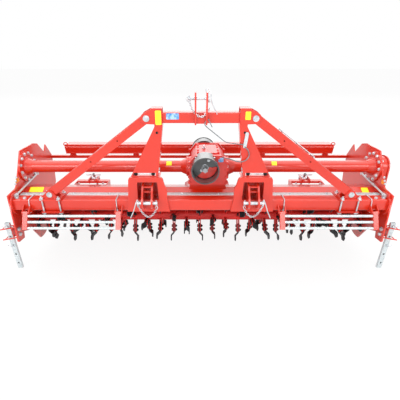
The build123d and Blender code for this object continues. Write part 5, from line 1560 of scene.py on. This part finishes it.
@dataclass
class RearTrim(SubAssembly):
    """Bolts, nipples, welds, lips and rings along the hood, the tailboard and the adjusters."""

    adjuster_x: float = 1.090
    bays: int = 4
    lip_in: float = 0.004          # lips, from the rear beam's ends
    lip_y: tuple[float, float] = (0.0005, 0.0075)      # from the rear beam's front face
    lip_low: tuple[float, float] = (-0.012, 0.002)     # lower lip, from the beam's underside
    lip_high: tuple[float, float] = (-0.002, 0.013)    # upper lip, from the beam's top
    hinge_in: float = 0.100        # outer hinge knuckles, from the side plates
    knuckle_half: float = 0.036
    seam_size: float = 0.0045
    folds: tuple[tuple[float, float], ...] = (         # the hood's outline, as (Y, Z)
        (-0.330, 0.692), (-0.260, 0.692), (-0.180, 0.737), (-0.080, 0.704), (0.050, 0.660),
        (0.181, 0.554), (0.226, 0.471))
    trunnion_half: float = 0.045
    bridge_half: float = 0.120

    def build(self) -> None:
        """Make the rear's trim."""
        self.hinge()
        self.hood_seams()
        self.adjusters()
        self.beam_rings()

    def beam_rings(self) -> None:
        """Make the rear beam's folded lips and the small rings at its front corners."""
        rings, lips = Bench(), Bench()
        low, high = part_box("rear_cross_beam")
        start, end = low.x + self.lip_in, high.x - self.lip_in
        front, rear = [low.y + y for y in self.lip_y]
        for level, lip in ((low.z, self.lip_low), (high.z, self.lip_high)):
            lips.block((start, front, level + lip[0]), (end, rear, level + lip[1]), 0.002)
        self.add(lips, "rear_beam_lips", "frame", Coating.RED_ENAMEL)
        for sign in (-1, 1):
            rings.ring((sign * (high.x - 0.012), low.y + 0.010, high.z + 0.014),
                       Vector((0.25 * sign, 1, 0)), 0.018, 0.0048)
        self.add(rings, "rear_beam_rings", "frame", Coating.RED_ENAMEL)

    def hinge(self) -> None:
        """Make the hinge's grease nipples and the knuckles' welds."""
        nipples, welds = Bench(), Bench()
        pivot = self.layout.board
        reach = self.layout.plate - self.hinge_in
        for k in range(self.bays + 1):
            x = -reach + 2 * reach * k / self.bays
            seat = Vector((x, pivot.y + 0.008, pivot.z + 0.015))
            neck, tip = seat + Vector((0, 0.004, 0.008)), seat + Vector((0, 0.007, 0.014))
            nipples.bar(seat, neck, 0.004, 6)
            nipples.bar(neck, tip, 0.0025, 8)
            ends = max(x, -reach) - self.knuckle_half, min(x, reach) + self.knuckle_half
            start, end = [(edge, pivot.y + 0.019, pivot.z - 0.026) for edge in ends]
            welds.bead(start, end)
        self.add(nipples, "hinge_nipples", "tailboard", Coating.ZINC_PIN)
        self.add(welds, "tailboard_welds", "tailboard", Coating.RED_ENAMEL, self.palette.bead)

    def hood_seams(self) -> None:
        """Make the long welds where the hood meets the beam and the side plates."""
        seams = Bench()
        reach = self.layout.plate - 0.02
        seams.bead((-reach, -0.3285, 0.692), (reach, -0.3285, 0.692), self.seam_size)
        for _, sign in SIDES:
            x = sign * (self.layout.plate - 0.001)
            for start, end in zip(self.folds, self.folds[1:]):
                seams.bead((x, *start), (x, *end), self.seam_size)
        self.add(seams, "hood_welds", "frame", Coating.RED_ENAMEL, self.palette.bead)

    def adjusters(self) -> None:
        """Make the nuts on the adjusters' pins, the caps of their handles and the bridge bolts."""
        fixed = Bench()
        bracket_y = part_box("adjuster_brackets")[0].y + 0.025
        for side, sign in SIDES:
            x = sign * self.adjuster_x
            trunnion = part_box(f"adjuster_trunnion_{side}")
            y, z = ((trunnion[0].y + trunnion[1].y) / 2, (trunnion[0].z + trunnion[1].z) / 2)
            bridge = [(x + s * self.bridge_half, bracket_y, z) for s in (-1, 1)]
            for spots, axis in (([(x + self.trunnion_half, y, z)], X_AXIS),
                                ([(x - self.trunnion_half, y, z)], -X_AXIS), (bridge, Z_AXIS)):
                self.set_of(fixed, Fastener(0.010), spots, axis)
            cap = Bench()
            rod_low, rod_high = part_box(f"adjuster_rod_{side}")
            tip = Vector((x, rod_low.y + 0.012, rod_high.z - 0.006))
            along = Vector((0, tip.y - y, tip.z - z)).normalized()
            cap.bar(tip - along * 0.006, tip + along * 0.003, 0.0128, 16, edge=0.003)
            self.add(cap, f"adjuster_cap_{side}", f"adjuster_{side}", Coating.GUARD_PLASTIC)
        self.add(fixed, "adjuster_bolts", "frame", Coating.ZINC_PIN)


@dataclass(frozen=True)
class Film:
    """A blank film: its colour, its middle, the face's normal, the way up, and its size."""

    name: str
    colour: str
    middle: Vector
    normal: Vector
    up: Vector
    width: float
    height: float


@dataclass
class BlankPlates(SubAssembly):
    """Plain coloured films where a machine carries its notices. They bear no print."""

    film_t: float = 0.0006
    corner_cut: float = 0.004
    hood_off: float = 0.0012       # films on the hood, from its slope
    tube_r: float = 0.054
    tube_gap: float = 0.0003       # films on the drive tubes, from the tube
    tube_angle: float = math.radians(128)      # their middle, from the rear over the top
    tube_film: tuple[float, float] = (0.048, 0.044)    # along the tube, and round it

    def build(self) -> None:
        """Lay the films on the mast, tubes, gearbox, hood and side plates."""
        for film in self.flat_films():
            sheet = Bench()
            half, rise, cut = film.width / 2, film.height / 2, self.corner_cut
            outline = [(-half, -rise + cut), (-half + cut, -rise), (half - cut, -rise),
                       (half, -rise + cut), (half, rise - cut), (half - cut, rise),
                       (-half + cut, rise), (-half, rise - cut)]
            sheet.slab(outline, axes_at(film.middle, film.normal, film.up), self.film_t)
            self.add(sheet, f"blank_film_{film.name}", "frame", Coating.RED_ENAMEL,
                     self.palette.films[film.colour])
        for name, x in (("tube_left", -0.281), ("tube_right", 0.675)):
            sheet = Bench()
            self.curved(sheet, x)
            self.add(sheet, f"blank_film_{name}", "frame", Coating.RED_ENAMEL,
                     self.palette.films["yellow"])

    def flat_films(self) -> tuple[Film, ...]:
        """List the films that lie on flat faces.

        Returns:
            The films.
        """
        front = (-Y_AXIS, Z_AXIS)
        slope, climb = Vector((0, -0.487, 0.873)), Vector((0, 0.873, 0.487))
        lift = slope * self.hood_off
        plate, gearbox_x = self.layout.plate, self.layout.gearbox_x
        return (
            Film("mast_left", "yellow", Vector((-0.318, -0.4381, 1.409)), *front, 0.044, 0.104),
            Film("mast_right", "yellow", Vector((0.349, -0.4381, 1.424)), *front, 0.040, 0.060),
            Film("cross_tube", "blue", Vector((-0.212, -0.4301, 1.418)), *front, 0.096, 0.046),
            Film("gearbox", "blue", Vector((gearbox_x + 0.106, -0.2603, 1.020)), *front, 0.043,
                 0.040),
            Film("hood_left", "yellow", Vector((-1.484, -0.2075, 0.7193)) + lift, slope, climb,
                 0.125, 0.056),
            Film("hood_right", "yellow", Vector((1.497, -0.218, 0.7134)) + lift, slope, climb,
                 0.062, 0.066),
            Film("plate_left", "orange", Vector((-plate, -0.270, 0.835)), X_AXIS, Z_AXIS, 0.060,
                 0.034),
            Film("plate_right", "orange", Vector((plate, -0.270, 0.820)), -X_AXIS, Z_AXIS, 0.040,
                 0.034),
        )

    def curved(self, sheet: Bench, x: float) -> None:
        """Wrap a film round a drive tube.

        Args:
            sheet: bench that gets it.
            x: middle of the film along the tube.
        """
        width, height = self.tube_film
        spread = height / self.tube_r
        centre = Vector((x - width / 2, *self.layout.drive.yz))
        start = self.tube_angle - spread / 2
        inner = self.tube_r + self.tube_gap
        edge = [centre + Vector((0, r * math.cos(start), r * math.sin(start)))
                for r in (inner, inner + self.film_t)]
        verts = [sheet.bm.verts.new(p) for p in edge]
        verts += [sheet.bm.verts.new(p + X_AXIS * width) for p in reversed(edge)]
        face = sheet.bm.faces.new(verts)
        bmesh.ops.spin(sheet.bm, geom=[face], cent=centre, axis=X_AXIS, angle=spread, steps=8,
                       use_merge=False, use_duplicate=False)


@dataclass
class RoundedPlates(SubAssembly):
    """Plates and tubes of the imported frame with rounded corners, in place of the square ones."""

    plate_r: float = 0.022
    plate_crest: tuple[tuple[float, float], ...] = (   # side plates' upper corners, as (Y, Z)
        (-0.308, 0.781), (-0.209, 0.910))
    bracket_r: float = 0.026
    bracket_corners: tuple[float, float] = (0.150, -0.124)     # X from the bracket's middle
    beam_r: float = 0.012
    strut_r: float = 0.009
    tube_r: float = 0.010
    weld_gap: float = 1e-5         # corners nearer than this are one
    corner_near: float = 0.003     # an edge nearer than this to a corner is that corner's

    def build(self) -> None:
        """Round the plates' corners and the long edges of the beam, struts and cross tube."""
        for side, sign in SIDES:
            crest = [Vector((0, y, z)) for y, z in self.plate_crest]
            self.rounded(f"side_plate_{side}", X_AXIS, crest, self.plate_r)
            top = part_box(f"hitch_bracket_{side}")[1].z
            corners = [Vector((sign * (self.layout.hitch_x + x), 0, top))
                       for x in self.bracket_corners]
            self.rounded(f"hitch_bracket_{side}", Y_AXIS, corners, self.bracket_r)
            run = self.layout.strut_foot - self.layout.strut_head
            self.eased(f"mast_strut_{side}", Vector((sign * run.x, 0, run.z)), self.strut_r)
        self.eased("front_beam", X_AXIS, self.beam_r)
        self.eased("mast_cross_tube", X_AXIS, self.tube_r)

    def copied(self, node: str) -> Bench:
        """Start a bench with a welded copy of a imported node, its flat faces whole again.

        Args:
            node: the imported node.

        Returns:
            The bench.
        """
        bench = Bench()
        bench.bm.from_mesh(frame["nodes"][node].data)
        bmesh.ops.remove_doubles(bench.bm, verts=bench.bm.verts, dist=self.weld_gap)
        bmesh.ops.dissolve_limit(bench.bm, angle_limit=math.radians(0.5), verts=bench.bm.verts,
                                 edges=bench.bm.edges)
        return bench

    @staticmethod
    def cut_round(bench: Bench, edges: list[bmesh.types.BMEdge], radius: float,
                  segments: int) -> None:
        """Round some edges of a bench.

        Args:
            bench: bench that holds the piece.
            edges: edges to round.
            radius: how far from an edge its rounding starts.
            segments: flats in each rounding.
        """
        bmesh.ops.bevel(bench.bm, geom=edges, offset=radius, offset_type="OFFSET",
                        segments=segments, profile=0.5, affect="EDGES", material=-1)

    def eased(self, node: str, along: Vector, radius: float) -> None:
        """Put a copy with a rolled tube's round edges in place of a packed square tube.

        Args:
            node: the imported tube.
            along: direction of the tube.
            radius: outside corner radius.
        """
        bench = self.copied(node)
        way = along.normalized()
        chosen = [e for e in bench.bm.edges
                  if len(e.link_faces) == 2 and e.is_convex and e.calc_face_angle(0.0) > 1.2
                  and abs((e.verts[1].co - e.verts[0].co).normalized().dot(way)) > 0.9995]
        self.cut_round(bench, chosen, radius, 5)
        LOG.info("%s: %d long edges eased", node, len(chosen))
        piece = self.add(bench, f"{node}_eased", "frame", Coating.RED_ENAMEL)
        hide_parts(node)

    def rounded(self, node: str, across: Vector, corners: Sequence[Vector],
                radius: float) -> None:
        """Put a copy with rounded corners in place of a packed plate.

        Args:
            node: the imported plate.
            across: direction through the plate.
            corners: the corners, at any depth through the plate.
            radius: how far from a corner the rounding starts.
        """
        bench = self.copied(node)
        chosen = []
        for edge in bench.bm.edges:
            start, end = (v.co for v in edge.verts)
            if abs((end - start).normalized().dot(across)) < 0.999:
                continue
            near = [(start - c - across * (start - c).dot(across)).length for c in corners]
            if min(near) < self.corner_near:
                chosen.append(edge)
        self.cut_round(bench, chosen, radius, 6)
        LOG.info("%s: %d corners rounded", node, len(chosen))
        piece = self.add(bench, f"{node}_rounded", "frame", Coating.RED_ENAMEL)
        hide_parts(node)


# ---- the frame's own finishes and the studio -----------------------------------------------------


def dress_frame(palette: Palette) -> None:
    """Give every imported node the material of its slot.

    Args:
        palette: materials of the machine.
    """
    slots = {row["node"]: Coating(row["material_slot"]) for row in frame["record"]["subparts"]}
    for name, node in frame["nodes"].items():
        node.data.materials.clear()
        node.data.materials.append(palette.coats[slots[name]])
        LOG.info("%s dressed as %s", name, slots[name].value)


@dataclass
class Studio:
    """Plain pale floor, soft lamps and the camera."""

    camera_place: Vector = field(default_factory=lambda: Vector((-0.045, -2.740, 1.876)))
    camera_down: float = math.radians(26.5)
    lens: float = 27.54
    shift: float = 0.0125
    floor_size: float = 60.0
    floor_glow: float = 0.88       # share of plain white in what the camera sees of the floor
    surround: float = 0.88         # strength of the white surroundings as a light
    target: Vector = field(default_factory=lambda: Vector((0, 0, 0.8)))    # lamps point here

    def build(self) -> None:
        """Make the floor, the lamps, the world and the camera."""
        self.floor()
        self.world()
        self.lamps()
        self.camera()
        bpy.context.scene.view_settings.view_transform = "Standard"

    def floor(self) -> None:
        """Make a pale floor that shows white and keeps the machine's shadow."""
        bench = Bench()
        bmesh.ops.create_grid(bench.bm, x_segments=1, y_segments=1, size=self.floor_size / 2)
        mesh = bench.to_mesh("studio_floor")
        material = bpy.data.materials.new("white_backdrop_paper")
        material.use_nodes = True
        tree = material.node_tree
        shader = tree.nodes["Principled BSDF"]
        shader.inputs["Base Color"].default_value = to_linear("#f2f2f2")
        shader.inputs["Roughness"].default_value = 0.9
        glow = add_node(tree, "ShaderNodeEmission", {"Color": (1, 1, 1, 1), "Strength": 1.0})
        path = add_node(tree, "ShaderNodeLightPath")
        seen = add_node(tree, "ShaderNodeMath", {"operation": "MAXIMUM"},
                        {0: path.outputs["Is Camera Ray"], 1: path.outputs["Is Glossy Ray"]})
        share = add_node(tree, "ShaderNodeMath", {"operation": "MULTIPLY", 1: self.floor_glow},
                         {0: seen.outputs[0]})
        mix = add_node(tree, "ShaderNodeMixShader", links={
            0: share.outputs[0], 1: shader.outputs[0], 2: glow.outputs[0]})
        tree.links.new(mix.outputs[0], tree.nodes["Material Output"].inputs["Surface"])
        mesh.materials.append(material)
        floor = bpy.data.objects.new("studio_floor", mesh)
        bpy.context.scene.collection.objects.link(floor)

    def world(self) -> None:
        """Make the white surroundings: seen as white, lighting the machine softly."""
        world = bpy.data.worlds.new("studio")
        bpy.context.scene.world = world
        world.use_nodes = True
        tree = world.node_tree
        background = tree.nodes["Background"]
        background.inputs["Color"].default_value = (1, 1, 1, 1)
        path = add_node(tree, "ShaderNodeLightPath")
        seen = add_node(tree, "ShaderNodeMath", {"operation": "MAXIMUM"},
                        {0: path.outputs["Is Camera Ray"], 1: path.outputs["Is Glossy Ray"]})
        clear = add_node(tree, "ShaderNodeMath", {"operation": "MAXIMUM"},
                         {0: seen.outputs[0], 1: path.outputs["Is Transmission Ray"]})
        strength = add_node(tree, "ShaderNodeMapRange", {"To Min": self.surround, "To Max": 1.0},
                            {"Value": clear.outputs[0]})
        tree.links.new(strength.outputs["Result"], background.inputs["Strength"])

    def lamps(self) -> None:
        """Make a key from the front left, a fill, a soft box overhead and a wide sky behind."""
        # name, place, width, height, power
        for name, place, width, height, power in (
                ("key", (-2.1, -3.7, 2.4), 4.0, 1.0, 76.0),
                ("fill", (2.1, -3.7, 2.4), 4.0, 1.0, 63.0),
                ("overhead", (0.0, 0.4, 5.6), 9.0, 5.0, 200.0),
                ("sky", (0.0, 9.0, 6.0), 18.0, 5.5, 530.0)):
            lamp = bpy.data.lights.new(name, "AREA")
            lamp.shape = "RECTANGLE"
            lamp.energy = power
            lamp.size, lamp.size_y = width, height
            holder = bpy.data.objects.new(name, lamp)
            holder.location = place
            aim = self.target - Vector(place)
            holder.rotation_euler = aim.to_track_quat("-Z", "Y").to_euler()
            bpy.context.scene.collection.objects.link(holder)

    def camera(self) -> None:
        """Stand the camera in front of the machine, a little above it, looking down."""
        camera = bpy.data.cameras.new("studio_camera")
        camera.sensor_width = 36.0
        camera.lens = self.lens
        camera.shift_x = self.shift
        holder = bpy.data.objects.new("studio_camera", camera)
        holder.location = self.camera_place
        holder.rotation_euler = (math.pi / 2 - self.camera_down, 0, 0)
        bpy.context.scene.collection.objects.link(holder)
        bpy.context.scene.camera = holder


def main() -> None:
    """Dress the frame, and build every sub-assembly and the studio."""
    logging.basicConfig(level=logging.INFO, format="%(name)s: %(message)s")
    palette = Palette()
    palette.mix()
    dress_frame(palette)
    layout = Layout.read()
    kinds: tuple[Callable[..., SubAssembly], ...] = (
        DriveLine, GearboxTrim, GuardBells, LowerHitch, Mast, BeamTrim, SideTrim, Rotor, Stands,
        RearTrim, BlankPlates, RoundedPlates)
    for kind in kinds:
        group = kind(layout, palette)
        group.build()
        LOG.info("%s: %d pieces", type(group).__name__, len(group.made))
    Studio().build()


if __name__ == "__main__":
    main()
